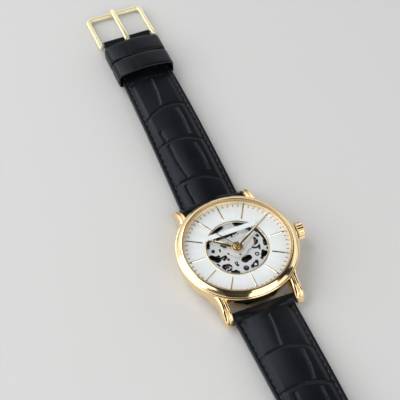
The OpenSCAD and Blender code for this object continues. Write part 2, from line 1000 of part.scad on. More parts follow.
// The hairspring: a flat spiral between its collet on the staff and its stud on the cock
module hairspring() {
    turns = 7;
    steps = 18;
    inner = 0.55;
    pitch = 0.2;
    half_w = 0.03;
    count = turns * steps;
    edge = function (k, o) polar(inner + pitch * k / steps + o, 360 * k / steps);
    color("steelblue")
        at(balance_p)
            translate([0, 0, train_z + 0.12])
                linear_extrude(0.12)
                    polygon(concat(
                        [for (k = [0 : count]) edge(k, half_w)],
                        [for (k = [count : -1 : 0]) edge(k, -half_w)]
                    ));
}

// The spring-loaded click that holds the ratchet wheel
module click() {
    reach = ratchet_teeth * winding_m / 2 + 0.75 * winding_m;
    color(steel)
        at(click_p)
            translate([0, 0, ratchet_z])
                difference() {
                    union() {
                        cylinder(r = 0.7, h = ratchet_t);
                        linear_extrude(ratchet_t)
                            rotate(-40)
                                polygon([[0, -0.6], [4.9 - reach, -0.25], [4.9 - reach, 0.1], [0, 0.6]]);
                    }
                    translate([0, 0, -1])
                        cylinder(r = click_post_r + run, h = 3);
                }
}

// The bearing's post, with the flange that keeps the rotor on it
module rotor_bearing() {
    color(steel) {
        disc(bearing_r, rotor_z - run - 0.01, bridge_z);
        disc(bearing_r + 0.5, rotor_z - run - 0.12, rotor_z - run);
    }
}

// A spring bar along X: a tube with a thin sprung pivot at each end
module spring_bar(r, body_l) {
    bar_x(r, -body_l / 2, body_l / 2);
    bar_x(bar_pivot_r, -body_l / 2 - bar_pivot_l, body_l / 2 + bar_pivot_l);
}

module lug_spring_bars() {
    color(steel)
        for (s = [-1, 1])
            translate([0, s * bar_y, bar_z])
                spring_bar(bar_r, lug_gap - 2 * lug_wall);
}

module rotor() {
    hub_r = bearing_r + run;
    color(gold)
        difference() {
            union() {
                intersection() {
                    ring(movement_r - 0.5, movement_r - 0.5 - rotor_weight_w, rotor_z, rotor_top);
                    translate([-movement_r, -movement_r, 0])
                        cube([2 * movement_r, movement_r, rotor_top + 1]);
                }
                intersection() {
                    disc(movement_r - 1, rotor_top - 0.5, rotor_top);
                    translate([-movement_r, -movement_r, 0])
                        cube([2 * movement_r, movement_r + 2.6, rotor_top + 1]);
                }
            }
            disc(hub_r, 0, rotor_top + 1);
            for (s = [-1, 1])
                translate([s * 4.6, -4.6, 0])
                    disc(2.1, 0, rotor_top + 1);
            // the plate's upper corners are cut back to a round boss
            for (s = [-1, 1])
                translate([s > 0 ? 3 : -3 - movement_r, 0, 0])
                    cube([movement_r, 4, rotor_top + 1]);
        }
}

module barrel() {
    r = barrel_drum_r;
    wall = 0.25;
    teeth_t = 0.3;
    color(brass)
        at(barrel_p)
            difference() {
                union() {
                    disc(r, barrel_z, barrel_z + barrel_h);
                    pinion(barrel_teeth, barrel_m, barrel_z + barrel_h - teeth_t, barrel_z + barrel_h);
                }
                disc(r - wall, barrel_z + wall * 0.7, barrel_z + barrel_h - wall * 0.7);
                disc(barrel_arbor_r + run, barrel_z - 1, barrel_z + barrel_h + 1);
            }
}

// The mainspring, coiled in the barrel
module mainspring() {
    turns = 9;
    steps = 16;
    inner = 1.25;
    pitch = (barrel_drum_r - 0.35 - inner) / turns;
    half_w = 0.05;
    count = turns * steps;
    edge = function (k, o) polar(inner + pitch * k / steps + o, 360 * k / steps);
    color("slategray")
        at(barrel_p)
            translate([0, 0, barrel_z + 0.22])
                linear_extrude(barrel_h - 0.44)
                    polygon(concat(
                        [for (k = [0 : count]) edge(k, half_w)],
                        [for (k = [count : -1 : 0]) edge(k, -half_w)]
                    ));
}

module barrel_arbor() {
    color(steel)
        at(barrel_p) {
            disc(barrel_arbor_r, ratchet_z + ratchet_t, barrel_z + barrel_h + 0.1);
            disc(1.1, barrel_z + 0.2, barrel_z + barrel_h - 0.2);
            disc(barrel_pivot_r, barrel_z + barrel_h, plate_z + 0.4);
        }
}

module ratchet_wheel() {
    color(steel)
        at(barrel_p)
            difference() {
                pinion(ratchet_teeth, winding_m, ratchet_z, ratchet_z + ratchet_t);
                disc(0.45, 0, ratchet_z + 0.25);
            }
}

// The crown wheel: spur teeth for the ratchet wheel, and a raised rim under the winding pinion
module crown_wheel() {
    rim_r = crown_wheel_teeth * winding_m / 2 - 0.15;
    color(steel)
        at(crown_wheel_p) {
            pinion(crown_wheel_teeth, winding_m, ratchet_z, ratchet_z + ratchet_t, crown_wheel_a);
            ring(rim_r, rim_r - 0.5, ratchet_z + ratchet_t - overlap, stem_z - winding_pinion_r - run);
        }
}

module second_wheel() {
    color(brass)
        at(second_p) {
            arbor(0.12);
            pinion(second_pinion_teeth, barrel_m, barrel_z + barrel_h - 0.5,
                barrel_z + barrel_h + run, second_pinion_a);
            wheel(second_teeth, second_m, second_wheel_z, wheel_t, 0, 5, 0.2);
            // the pinion on the dial side that drives the minute wheel
            disc(drive_r, second_wheel_z + 0.1, cannon_z + 0.15);
            pinion(cannon_teeth, motion_m, cannon_z, cannon_z + 0.15, second_drive_a);
        }
}

module third_wheel() {
    color(brass)
        at(third_p) {
            arbor(arbor_r);
            pinion(third_pinion_teeth, second_m, second_wheel_z - 0.08, second_wheel_z + 0.2,
                third_pinion_a);
            wheel(third_teeth, third_m, third_wheel_z, wheel_t, 0, 5, 0.1);
        }
}

// The wheel at the centre, whose long arbor carries the second hand
module fourth_wheel() {
    color(brass) {
        disc(centre_bore_r - run, train_z + run, second_hand_z + hand_t);
        disc(pivot_r, train_z - 0.3, train_z + 0.1);
        pinion(fourth_pinion_teeth, third_m, third_wheel_z - 0.05, third_wheel_z + 0.25,
            fourth_pinion_a);
        wheel(fourth_teeth, fourth_m, fourth_wheel_z, wheel_t, 0, 5, 0.1);
    }
}

module escape_wheel() {
    tooth = [[-0.32, 0], [0, 0.12], [0, 0.3], [-0.32, 0.42]];
    color(steel)
        at(escape_p) {
            arbor(arbor_r);
            pinion(escape_pinion_teeth, fourth_m, fourth_wheel_z - 0.1, fourth_wheel_z + 0.3,
                escape_pinion_a);
            translate([0, 0, escape_wheel_z])
                linear_extrude(0.12)
                    difference() {
                        polygon([
                            for (i = [0 : escape_teeth - 1], k = tooth)
                                polar(escape_r + k[0], (i + k[1]) * 360 / escape_teeth)
                        ]);
                        difference() {
                            circle(escape_r - 0.6);
                            circle(0.45);
                            for (i = [0 : 3])
                                rotate(90 * i)
                                    translate([0, -0.1])
                                        square([escape_r, 0.2]);
                        }
                    }
        }
}

// The lever with its two pallets on one side and its fork on the other
module pallet_fork() {
    z = escape_wheel_z;
    color(steel)
        at(fork_p) {
            disc(arbor_r, z - run, plate_z - run);
            disc(pivot_r, z - 0.2, plate_z + 0.3);
            translate([0, 0, z])
                linear_extrude(0.12)
                    rotate(lever_a) {
                        // the lever, forked at its far end
                        difference() {
                            polygon([[0, -0.22], [2.2, -0.14], [2.6, -0.42], [2.85, -0.42],
                                [2.85, 0.42], [2.6, 0.42], [2.2, 0.14], [0, 0.22]]);
                            translate([2.35, -0.14])
                                square([1, 0.28]);
                        }
                        // its two pallets
                        polygon([[0.3, 0], [0.25, 1.2], [-0.55, 1.35], [-0.5, 1.1],
                            [-0.15, 1], [-0.3, 0], [-0.15, -1], [-0.5, -1.1],
                            [-0.55, -1.35], [0.25, -1.2]]);
                    }
        }
}

module balance_wheel() {
    rim_w = 0.45;
    color(gold)
        at(balance_p) {
            arbor(0.2);
            ring(balance_r, balance_r - rim_w, balance_z, balance_z + 0.4);
            translate([0, 0, balance_z + 0.1])
                linear_extrude(0.18) {
                    circle(0.7);
                    for (i = [0 : 2])
                        rotate(120 * i + lever_a + 60)
                            translate([0, -0.2])
                                square([balance_r - rim_w / 2, 0.4]);
                }
            // the roller, with its impulse pin
            disc(0.6, balance_z + 0.49, balance_z + 0.56);
            at(polar(0.48, lever_a + 180))
                disc(0.09, balance_z + 0.5, plate_z - 0.28);
        }
}

module cannon_pinion() {
    color(gold)
        difference() {
            union() {
                pinion(cannon_teeth, motion_m, cannon_z, cannon_z + 0.15);
                disc(cannon_pipe_r, cannon_z, minute_hand_z + hand_t);
            }
            disc(centre_tube_r + run, 0, minute_hand_z + 1);
        }
}

module minute_wheel() {
    color(steel)
        at(minute_p) {
            wheel(minute_teeth, motion_m, cannon_z, 0.15, minute_a, 4, 0.1);
            pinion(minute_pinion_teeth, hour_m, cannon_z + 0.14, hour_wheel_z + 0.15);
            disc(minute_post_r, plate_z + 0.2, cannon_z + 0.1);
        }
}

module hour_wheel() {
    color(brass)
        difference() {
            union() {
                pinion(hour_teeth, hour_m, hour_wheel_z, hour_wheel_z + 0.15, hour_a);
                disc(hour_pipe_r, hour_wheel_z, hour_hand_z + hand_t);
            }
            disc(cannon_pipe_r + run, 0, hour_hand_z + 1);
        }
}

// A tapering hand with a raised ridge, a round boss and a bore, pointing to +Y
module dauphine_hand(l, w, boss_r, bore_r, z) {
    belly = 0.28;
    disc_top = z + hand_t;
    difference() {
        union() {
            translate([0, 0, z])
                linear_extrude(hand_t)
                    polygon([[0, 0], [w / 2, l * belly], [0, l], [-w / 2, l * belly]]);
            disc(boss_r, z, disc_top);
            translate([0, 0, z])
                linear_extrude(hand_t)
                    polygon([[-w * 0.3, 0], [w * 0.3, 0], [w * 0.42, l * belly], [-w * 0.42, l * belly]]);
        }
        disc(bore_r, z - 1, disc_top + 1);
    }
}

module hour_hand() {
    color(gold)
        rotate(hour_hand_a)
            dauphine_hand(hour_hand_l, hour_hand_w, hour_pipe_r + 0.9, hour_pipe_r + fit, hour_hand_z);
}

module minute_hand() {
    color(gold)
        rotate(minute_hand_a)
            dauphine_hand(minute_hand_l, minute_hand_w, cannon_pipe_r + 0.45,
                cannon_pipe_r + fit, minute_hand_z);
}

module second_hand() {
    tail = 4;
    color(gold)
        rotate(second_hand_a)
            difference() {
                union() {
                    translate([0, 0, second_hand_z])
                        linear_extrude(0.12)
                            polygon([[-0.16, -tail], [0.16, -tail], [0.07, second_hand_l],
                                [-0.07, second_hand_l]]);
                    disc(0.6, second_hand_z, second_hand_z + 0.3);
                    translate([0, -tail, 0])
                        disc(0.42, second_hand_z, second_hand_z + 0.12);
                }
                disc(centre_bore_r - run + fit, second_hand_z - 1, second_hand_z + hand_t + fit);
            }
}

module crown() {
    flute_r = 0.3;
    r = crown_d / 2;
    color(gold)
        translate([0, 0, stem_z])
            difference() {
                translate([crown_x, 0, 0])
                    rotate([0, 90, 0])
                        rotate_extrude()
                            polygon([[0, 0], [r - 0.35, 0], [r, 0.35], [r, crown_l - 0.6],
                                [r - 0.35, crown_l - 0.2], [r - 1, crown_l], [0, crown_l]]);
                for (i = [0 : crown_flutes - 1])
                    rotate([360 / crown_flutes * (i + 0.5), 0, 0])
                        translate([0, 0, r + 0.08])
                            bar_x(flute_r, crown_x - 1, crown_x + crown_l - 0.5);
                bar_x(crown_bore_r, crown_x - 1, crown_x + crown_bore_l);
                bar_x(stem_r + fit, crown_x, crown_x + crown_l - crown_wall);
            }
}

// The seal inside the crown, which slides on the tube
module crown_gasket() {
    color("dimgray")
        translate([0, 0, stem_z])
            difference() {
                bar_x(crown_bore_r - fit, crown_x + 0.1, crown_x + 0.6);
                bar_x(tube_r + fit, crown_x, crown_x + 2);
            }
}

module winding_stem() {
    groove_x = lever_x;
    groove_w = 0.4;
    color(steel)
        translate([0, 0, stem_z])
            difference() {
                bar_x(stem_r, stem_end_x, crown_x + crown_l - crown_wall);
                difference() {
                    bar_x(stem_r + 1, groove_x - groove_w / 2, groove_x + groove_w / 2);
                    bar_x(stem_r - 0.15, groove_x - 1, groove_x + 1);
                }
            }
}

module crown_gear(x, l, r, bore) {
    teeth = 12;
    color(steel)
        translate([x, 0, stem_z])
            rotate([90, 0, 90])
                linear_extrude(l)
                    difference() {
                        gear_2d(teeth, 2 * r / (teeth + 1.4));
                        circle(bore);
                    }
}

module winding_pinion() {
    crown_gear(winding_pinion_x, winding_pinion_l, winding_pinion_r, stem_r + run);
}

// The pinion that slides along the stem, with a groove round it for the yoke
module sliding_pinion() {
    middle = sliding_pinion_x + sliding_pinion_l / 2;
    difference() {
        crown_gear(sliding_pinion_x, sliding_pinion_l, sliding_pinion_r, stem_r + run);
        translate([0, 0, stem_z])
            difference() {
                bar_x(1, middle - sliding_groove_w / 2, middle + sliding_groove_w / 2);
                bar_x(sliding_groove_r, middle - 1, middle + 1);
            }
    }
}

// The yoke, whose end reaches into the sliding pinion's groove
module yoke() {
    middle = sliding_pinion_x + sliding_pinion_l / 2;
    w = sliding_groove_w - 2 * run;
    reach = -sliding_groove_r - run / 2;
    color(steel)
        translate([0, 0, stem_z - 0.3])
            linear_extrude(0.25) {
                translate([middle - w / 2, reach - 2])
                    square([w, 2]);
                translate([middle - 0.4, reach - 2.4])
                    square([0.8, 0.9]);
            }
}

// The lever whose pin sits in the stem's groove and moves as the crown is pulled
module setting_lever() {
    color(steel)
        difference() {
            union() {
                translate([0, 0, lever_z])
                    linear_extrude(lever_t) {
                        translate(lever_p)
                            circle(0.5);
                        translate([lever_x - 0.3, -lever_arm])
                            square([0.6, lever_arm]);
                        translate([lever_x, 0])
                            circle(0.3);
                    }
                at([lever_x, 0])
                    disc(0.12, lever_z - 0.16, lever_z + 0.01);
            }
            at(lever_p)
                disc(lever_post_r + run, 0, plate_z);
        }
}

// Side outline of a strap half between two heights above its underside
module strap_side(l, rise, end_z, full) {
    step = l / 24;
    top = function (s) full ? strap_thick(s) : min(strap_edge_t, strap_thick(s));
    polygon(concat(
        [for (i = [0 : 24]) [i * step, strap_bottom(i * step, l, rise, end_z)]],
        [for (i = [24 : -1 : 0])
            [i * step, strap_bottom(i * step, l, rise, end_z) + top(i * step)]]
    ));
}

// Plan outline of a strap half, drawn in from its edges by inset
module strap_plan(l, back, inset) {
    w0 = strap_lug_w / 2 - inset;
    w1 = strap_width(l, l) / 2 - inset;
    polygon([[-w0, -back], [w0, -back], [w0, 0], [w1, l], [-w1, l], [-w0, 0]]);
}

// A flat stitched edge and a thicker padded middle, in one piece of leather
module strap_body(l, rise, end_z, pad_l) {
    intersection() {
        side_profile(2 * strap_lug_w) {
            strap_side(l, rise, end_z, false);
            translate([0, bar_z])
                circle(loop_r);
        }
        linear_extrude(plan_h, center = true)
            strap_plan(l, loop_r + 1, 0);
    }
    intersection() {
        side_profile(2 * strap_lug_w)
            strap_side(l, rise, end_z, true);
        linear_extrude(plan_h, center = true)
            intersection() {
                strap_plan(l, loop_r + 1, pad_inset);
                translate([-strap_lug_w, 0])
                    square([2 * strap_lug_w, pad_l]);
            }
    }
}

module strap_12() {
    color(leather)
        translate([0, bar_y, 0])
            difference() {
                union() {
                    strap_body(strap_12_l, arch_12, buckle_end_z, strap_12_l - 3);
                    translate([0, strap_12_l, buckle_bar_z])
                        bar_x(buckle_loop_r, -strap_end_w / 2, strap_end_w / 2);
                }
                translate([0, 0, bar_z])
                    bar_x(bar_bore_r, -strap_lug_w, strap_lug_w);
                translate([0, strap_12_l, buckle_bar_z])
                    bar_x(buckle_bar_r + run, -strap_lug_w, strap_lug_w);
                // slot for the tongue
                translate([-slot_w / 2, strap_12_l - slot_l, -1])
                    cube([slot_w, slot_l + 5, 20]);
            }
}

// The half with the holes, which ends in a rounded tip
module strap_6() {
    tip_r = strap_end_w * 0.62;
    tip_y = strap_6_l - tip_r - 0.1;
    color(leather)
        rotate(180)
            translate([0, bar_y, 0])
                difference() {
                    intersection() {
                        strap_body(strap_6_l, arch_6, tip_z, strap_6_l - 8);
                        translate([0, 0, -1])
                            linear_extrude(30) {
                                translate([-strap_lug_w, -10])
                                    square([2 * strap_lug_w, tip_y + 10]);
                                translate([0, tip_y])
                                    circle(tip_r);
                            }
                    }
                    translate([0, 0, bar_z])
                        bar_x(bar_bore_r, -strap_lug_w, strap_lug_w);
                    for (i = [0 : strap_holes - 1])
                        translate([0, strap_6_l - first_hole - i * hole_pitch, -1])
                            cylinder(r = strap_hole_d / 2, h = 20);
                }
}

// A leather loop round the strap, with its middle at distance s from the lug bar
module keeper(s, lift) {
    inner_low = strap_12_bottom(s) - lift;
    inner_h = keeper_h + lift;
    color(leather)
        translate([0, bar_y + s, inner_low + inner_h / 2])
            rotate([strap_12_slope(s), 0, 0])
                rotate([90, 0, 0])
                    linear_extrude(keeper_l, center = true)
                        difference() {
                            rounded_rect(keeper_w + 2 * keeper_wall,
                                inner_h + 2 * keeper_wall, 1.4);
                            rounded_rect(keeper_w, inner_h, 0.6);
                        }
}

module keeper_fixed() {
    keeper(keeper_fixed_s, 0.15);
}

module keeper_free() {
    keeper(keeper_free_s, 0.4);
}

// Children in the buckle's own frame, laid from its bar down to the surface
module at_buckle() {
    translate([0, buckle_bar_y, buckle_bar_z])
        rotate([-buckle_tilt, 0, 0])
            children();
}

module buckle_frame() {
    back = 1.6;
    corner = 2.6;
    l = buckle_l + back + corner;
    color(gold)
        at_buckle()
            difference() {
                translate([0, buckle_l - l / 2, 0])
                    linear_extrude(buckle_t, center = true)
                        difference() {
                            rounded_rect(buckle_w, l, corner);
                            translate([0, -buckle_wire])
                                rounded_rect(buckle_gap, l, corner - buckle_wire);
                            translate([-buckle_w, -l / 2 - 1])
                                square([2 * buckle_w, corner + 1]);
                        }
                bar_x(bar_pivot_r + run, -buckle_w / 2 + 0.5, buckle_w / 2 - 0.5);
            }
}

module buckle_tongue() {
    lift = buckle_t / 2 + run;
    reach = buckle_l + 0.9;
    color(gold)
        at_buckle()
            difference() {
                union() {
                    bar_x(tongue_loop_r, -tongue_w / 2, tongue_w / 2);
                    side_profile(tongue_w)
                        polygon([[0, 0.1], [2, lift], [reach, lift], [reach, lift + tongue_t * 0.6],
                            [reach - 0.6, lift + tongue_t], [2, lift + tongue_t],
                            [0, tongue_loop_r]]);
                }
                bar_x(buckle_bar_r + run, -tongue_w, tongue_w);
            }
}

module buckle_spring_bar() {
    color(steel)
        at_buckle()
            spring_bar(buckle_bar_r, buckle_gap - 2 * lug_wall);
}

case_middle();
bezel();
crystal();
crystal_gasket();
inner_flange();
dial();
dial_opening_rim();
hour_batons();
dial_bar();
case_back();
back_glass();
back_glass_gasket();
case_back_gasket();
movement_holder();
crown_tube();
main_plate();
motion_cover();
barrel_bridge();
train_bridge();
balance_cock();
pallet_bridge();
jewels();
movement_screws();
hairspring();
click();
rotor_bearing();
lug_spring_bars();
rotor();
barrel();
mainspring();
barrel_arbor();
ratchet_wheel();
crown_wheel();
second_wheel();
third_wheel();
fourth_wheel();
escape_wheel();
pallet_fork();
balance_wheel();
cannon_pinion();
minute_wheel();
hour_wheel();
hour_hand();
minute_hand();
second_hand();
crown();
crown_gasket();
winding_stem();
winding_pinion();
sliding_pinion();
yoke();
setting_lever();
strap_12();
strap_6();
keeper_fixed();
keeper_free();
buckle_frame();
buckle_tongue();
buckle_spring_bar();
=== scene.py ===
import json
import math

import bmesh
import bpy
from bpy.props import FloatProperty, FloatVectorProperty, IntProperty, PointerProperty
from bpy.types import Operator, Panel, PropertyGroup
from mathutils import Matrix, Vector
from mathutils.bvhtree import BVHTree


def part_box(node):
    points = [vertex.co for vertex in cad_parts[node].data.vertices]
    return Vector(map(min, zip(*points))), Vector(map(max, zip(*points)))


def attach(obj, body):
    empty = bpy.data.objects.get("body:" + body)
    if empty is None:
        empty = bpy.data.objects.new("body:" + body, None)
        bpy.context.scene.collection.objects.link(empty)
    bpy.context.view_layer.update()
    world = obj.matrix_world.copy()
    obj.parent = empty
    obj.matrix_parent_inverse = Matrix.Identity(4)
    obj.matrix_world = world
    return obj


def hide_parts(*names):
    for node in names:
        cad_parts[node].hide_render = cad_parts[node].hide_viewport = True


bl_info = {
    "name": "Skeleton wristwatch",
    "version": (1, 0, 0),
    "blender": (4, 5, 0),
    "location": "3D View > Sidebar > Watch",
    "description": "Builds and finishes the pieces of a skeleton wristwatch on a leather strap",
    "category": "Object",
}

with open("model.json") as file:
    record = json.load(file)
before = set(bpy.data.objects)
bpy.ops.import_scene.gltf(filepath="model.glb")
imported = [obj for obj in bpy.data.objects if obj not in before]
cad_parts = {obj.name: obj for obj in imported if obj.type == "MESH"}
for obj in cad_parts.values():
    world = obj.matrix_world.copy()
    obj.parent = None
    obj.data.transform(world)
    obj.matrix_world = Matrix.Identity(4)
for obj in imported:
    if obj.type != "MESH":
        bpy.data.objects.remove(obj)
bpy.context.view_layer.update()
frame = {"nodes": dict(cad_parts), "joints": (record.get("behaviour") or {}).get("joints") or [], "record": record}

MM = 0.001
NODES = frame["nodes"]
BODY_OF = {n: body for body, names in frame["record"]["behaviour"]["bodies"].items() for n in names}
SLOT_OF = {part["node"]: part["material_slot"] for part in frame["record"]["subparts"]}
JOINTS = {joint["name"]: joint for joint in frame["joints"]}


def joint_place(name):
    return Vector(JOINTS[name]["pos_m"]) / MM


def low(node):
    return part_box(node)[0] / MM


def high(node):
    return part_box(node)[1] / MM


# ---------------------------------------------------------------- sizes and colours

def length(name, text, mm):
    return FloatProperty(name=name, description=text, default=mm * MM, min=0.0,
                         subtype="DISTANCE", unit="LENGTH")


def shade(name, text, rgb):
    return FloatVectorProperty(name=name, description=text, default=rgb, size=3, min=0.0, max=1.0,
                               subtype="COLOR")


class WATCH_PG_sizes(PropertyGroup):
    turning_steps: IntProperty(name="Turning steps", default=192, min=48, max=512,
                               description="Steps round each turned piece")
    edge_flat: length("Stitched edge", "Width of the strap's flat stitched edge", 2.1)
    pad_shoulder: length("Pad shoulder", "Width over which the strap's padding rises", 1.6)
    strap_end_width: length("Strap width at the buckle", "Width of the strap at its buckle end", 18.9)
    pad_crown: length("Pad crown", "Width over which the strap's padding goes on swelling", 9.4)
    seam_depth: length("Seam depth", "Depth of the seams between the leather's scales", 0.3)
    seam_width: length("Seam width", "Half width of the seams between the leather's scales", 0.3)
    stitch_pitch: length("Stitch pitch", "Distance from one stitch to the next", 2.7)
    stitch_length: length("Stitch length", "Length of one stitch", 1.9)
    stitch_width: length("Stitch width", "Thickness of the thread", 0.42)
    stitch_inset: length("Stitch inset", "Distance of the stitches from the strap's edge", 1.45)
    keeper_wall: length("Keeper wall", "Thickness of a keeper's leather", 0.9)
    hand_ridge: length("Hand ridge", "Rise of the ridge along a hand", 0.16)
    tick_length: length("Tick length", "Length of a minute tick", 0.7)
    tick_width: length("Tick width", "Width of a minute tick", 0.27)
    wire_width: length("Buckle wire width", "Width of the buckle's wire", 1.8)
    wire_thickness: length("Buckle wire thickness", "Thickness of the buckle's wire", 1.7)


class WATCH_PG_colours(PropertyGroup):
    gold: shade("Gold", "Polished gold of the case and the buckle", (0.95, 0.74, 0.43))
    pale_gold: shade("Pale gold", "Gold of the inner flange and the hands", (0.96, 0.84, 0.62))
    dial: shade("Dial", "White of the dial", (0.93, 0.935, 0.94))
    rhodium: shade("Rhodium", "Plating of the movement's plates", (0.86, 0.85, 0.84))
    dark_rhodium: shade("Dark rhodium", "Plating of the bridges", (0.07, 0.07, 0.075))
    steel: shade("Steel", "Polished steel of pinions and screws", (0.55, 0.56, 0.58))
    brass: shade("Brass", "Brass of the wheels", (0.62, 0.45, 0.22))
    blued: shade("Blued steel", "Dark steel of the screws and the hairspring", (0.1, 0.11, 0.16))
    ruby: shade("Ruby", "Synthetic ruby of the jewels", (0.3, 0.03, 0.06))
    leather: shade("Leather", "Black leather of the strap", (0.0045, 0.005, 0.0065))
    lining: shade("Lining", "Leather on the strap's underside", (0.035, 0.028, 0.024))
    thread: shade("Thread", "Thread of the strap's stitches", (0.012, 0.012, 0.015))
    floor: shade("Floor", "Plain floor under the watch", (0.6, 0.6, 0.595))


def sizes():
    return bpy.context.scene.watch_sizes


def colours():
    return bpy.context.scene.watch_colours


# ---------------------------------------------------------------- shader groups

def add(tree, kind, at, values=None, **settings):
    """Adds a shader node, sets its fields and its inputs' values."""
    new = tree.nodes.new(kind)
    new.location = at
    for key, value in settings.items():
        setattr(new, key, value)
    for key, value in (values or {}).items():
        new.inputs[key].default_value = value
    return new


def wire(tree, *pairs):
    """Joins sockets, given as (node, output) and (node, input) in turn."""
    for (source, output), (target, entry) in zip(pairs[0::2], pairs[1::2]):
        tree.links.new(source.outputs[output], target.inputs[entry])


def maths(tree, at, operation, values=None, kind="ShaderNodeMath"):
    return add(tree, kind, at, values, operation=operation)


def noise(tree, at, detail, roughness=0.5, scale=5.0, dimensions="3D"):
    return add(tree, "ShaderNodeTexNoise", at, {"Detail": detail, "Roughness": roughness, "Scale": scale},
               noise_dimensions=dimensions)


def stretched(tree, at, factors):
    """A place whose three distances are each multiplied."""
    return maths(tree, at, "MULTIPLY", {1: factors}, "ShaderNodeVectorMath")


def group(name, exits, build, **entries):
    """A shader node group with a place and named numbers in, and named numbers out, built once."""
    tree = bpy.data.node_groups.get(name)
    if tree is None:
        tree = bpy.data.node_groups.new(name, "ShaderNodeTree")
        tree.interface.new_socket(name="Place", in_out="INPUT", socket_type="NodeSocketVector")
        for label, value in entries.items():
            tree.interface.new_socket(name=label, in_out="INPUT",
                                      socket_type="NodeSocketFloat").default_value = value
        for label in exits:
            tree.interface.new_socket(name=label, in_out="OUTPUT", socket_type="NodeSocketFloat")
        build(tree, add(tree, "NodeGroupInput", (-900, 0)), add(tree, "NodeGroupOutput", (600, 0)))
    return tree


def polish_marks():
    """Faint handling marks: a roughness that drifts, and hairlines in its height."""
    def build(tree, start, end):
        broad = noise(tree, (-600, 200), 3.0, 0.6)
        hair = noise(tree, (-600, -200), 5.0, 0.7)
        squeeze = stretched(tree, (-780, -200), (1.0, 9.0, 4.0))
        fine = maths(tree, (-780, -400), "MULTIPLY", {1: 22.0})
        drift = maths(tree, (-300, 200), "SUBTRACT", {1: 0.5})
        total = maths(tree, (0, 200), "MULTIPLY_ADD")
        wire(tree, (start, "Place"), (broad, "Vector"), (start, "Scale"), (broad, "Scale"),
             (start, "Place"), (squeeze, 0), (squeeze, 0), (hair, "Vector"),
             (start, "Scale"), (fine, 0), (fine, 0), (hair, "Scale"),
             (broad, 0), (drift, 0), (drift, 0), (total, 0), (start, "Drift"), (total, 1),
             (start, "Roughness"), (total, 2), (total, 0), (end, "Roughness"), (hair, 0), (end, "Height"))
    return group("Polish marks", ("Roughness", "Height"), build, Scale=200.0, Roughness=0.1, Drift=0.1)


def turned_grain():
    """Fine rings round the watch's middle, as a lathe leaves them."""
    def build(tree, start, end):
        flat = stretched(tree, (-760, 100), (1.0, 1.0, 0.0))
        reach = maths(tree, (-560, 100), "LENGTH", kind="ShaderNodeVectorMath")
        rings = noise(tree, (-300, 100), 4.0, 0.7, dimensions="1D")
        wire(tree, (start, "Place"), (flat, 0), (flat, 0), (reach, 0), (reach, "Value"), (rings, "W"),
             (start, "Scale"), (rings, "Scale"), (rings, 0), (end, "Height"))
    return group("Turned grain", ("Height",), build, Scale=4000.0)


def sunray_grain_and_sheen():
    """Rays from the watch's middle: many fine ones as a satin dial has them, and a few broad ones that lead the
    dial's painted sheen.
    """
    def build(tree, start, end):
        split = add(tree, "ShaderNodeSeparateXYZ", (-760, 0))
        angle = maths(tree, (-560, 0), "ARCTAN2")
        rays = noise(tree, (-300, 0), 4.0, 0.65, dimensions="1D")
        wire(tree, (start, "Place"), (split, 0), (split, "Y"), (angle, 0), (split, "X"), (angle, 1),
             (angle, 0), (rays, "W"), (start, "Rays"), (rays, "Scale"), (rays, 0), (end, "Height"))
    return group("Sunray grain", ("Height",), build, Rays=60.0)


def frosted_grain():
    """The fine even grain of a blasted and plated metal."""
    def build(tree, start, end):
        grain = noise(tree, (-500, 100), 6.0, 0.75)
        cloud = noise(tree, (-500, -200), 2.0, scale=300.0)
        wire(tree, (start, "Place"), (grain, "Vector"), (start, "Scale"), (grain, "Scale"),
             (start, "Place"), (cloud, "Vector"), (grain, 0), (end, "Height"), (cloud, 0), (end, "Cloud"))
    return group("Frosted grain", ("Height", "Cloud"), build, Scale=9000.0)


def striped_grain():
    """Straight decorative stripes, each brushed across its width."""
    def build(tree, start, end):
        stripes = add(tree, "ShaderNodeTexWave", (-500, 100), {"Detail": 0.0, "Distortion": 0.0},
                      wave_type="BANDS", bands_direction="X", wave_profile="SAW")
        brush = noise(tree, (-500, -200), 3.0, scale=900.0)
        squeeze = stretched(tree, (-700, -200), (1.0, 14.0, 1.0))
        mix = maths(tree, (-200, 0), "MULTIPLY_ADD", {1: 0.3})
        wire(tree, (start, "Place"), (stripes, "Vector"), (start, "Stripes"), (stripes, "Scale"),
             (start, "Place"), (squeeze, 0), (squeeze, 0), (brush, "Vector"), (brush, 0), (mix, 0),
             (stripes, "Fac"), (mix, 2), (mix, 0), (end, "Height"))
    return group("Striped grain", ("Height",), build, Stripes=60.0)


def leather_grain():
    """Pores and soft creases of calf leather, with a shade that follows them."""
    def build(tree, start, end):
        pores = add(tree, "ShaderNodeTexVoronoi", (-600, 250), {"Randomness": 1.0}, feature="SMOOTH_F1")
        crease = noise(tree, (-600, -50), 6.0, 0.62)
        part = maths(tree, (-780, -50), "MULTIPLY", {1: 0.35})
        height = maths(tree, (-250, 150), "MULTIPLY_ADD", {1: 0.4})
        cloud = noise(tree, (-600, -350), 2.0, scale=90.0)
        wire(tree, (start, "Place"), (pores, "Vector"), (start, "Scale"), (pores, "Scale"),
             (start, "Place"), (crease, "Vector"), (start, "Scale"), (part, 0),
             (part, 0), (crease, "Scale"), (pores, "Distance"), (height, 0), (crease, 0), (height, 2),
             (height, 0), (end, "Height"), (start, "Place"), (cloud, "Vector"),
             (cloud, 0), (end, "Cloud"))
    return group("Leather grain", ("Height", "Cloud"), build, Scale=2200.0)


# ---------------------------------------------------------------- materials

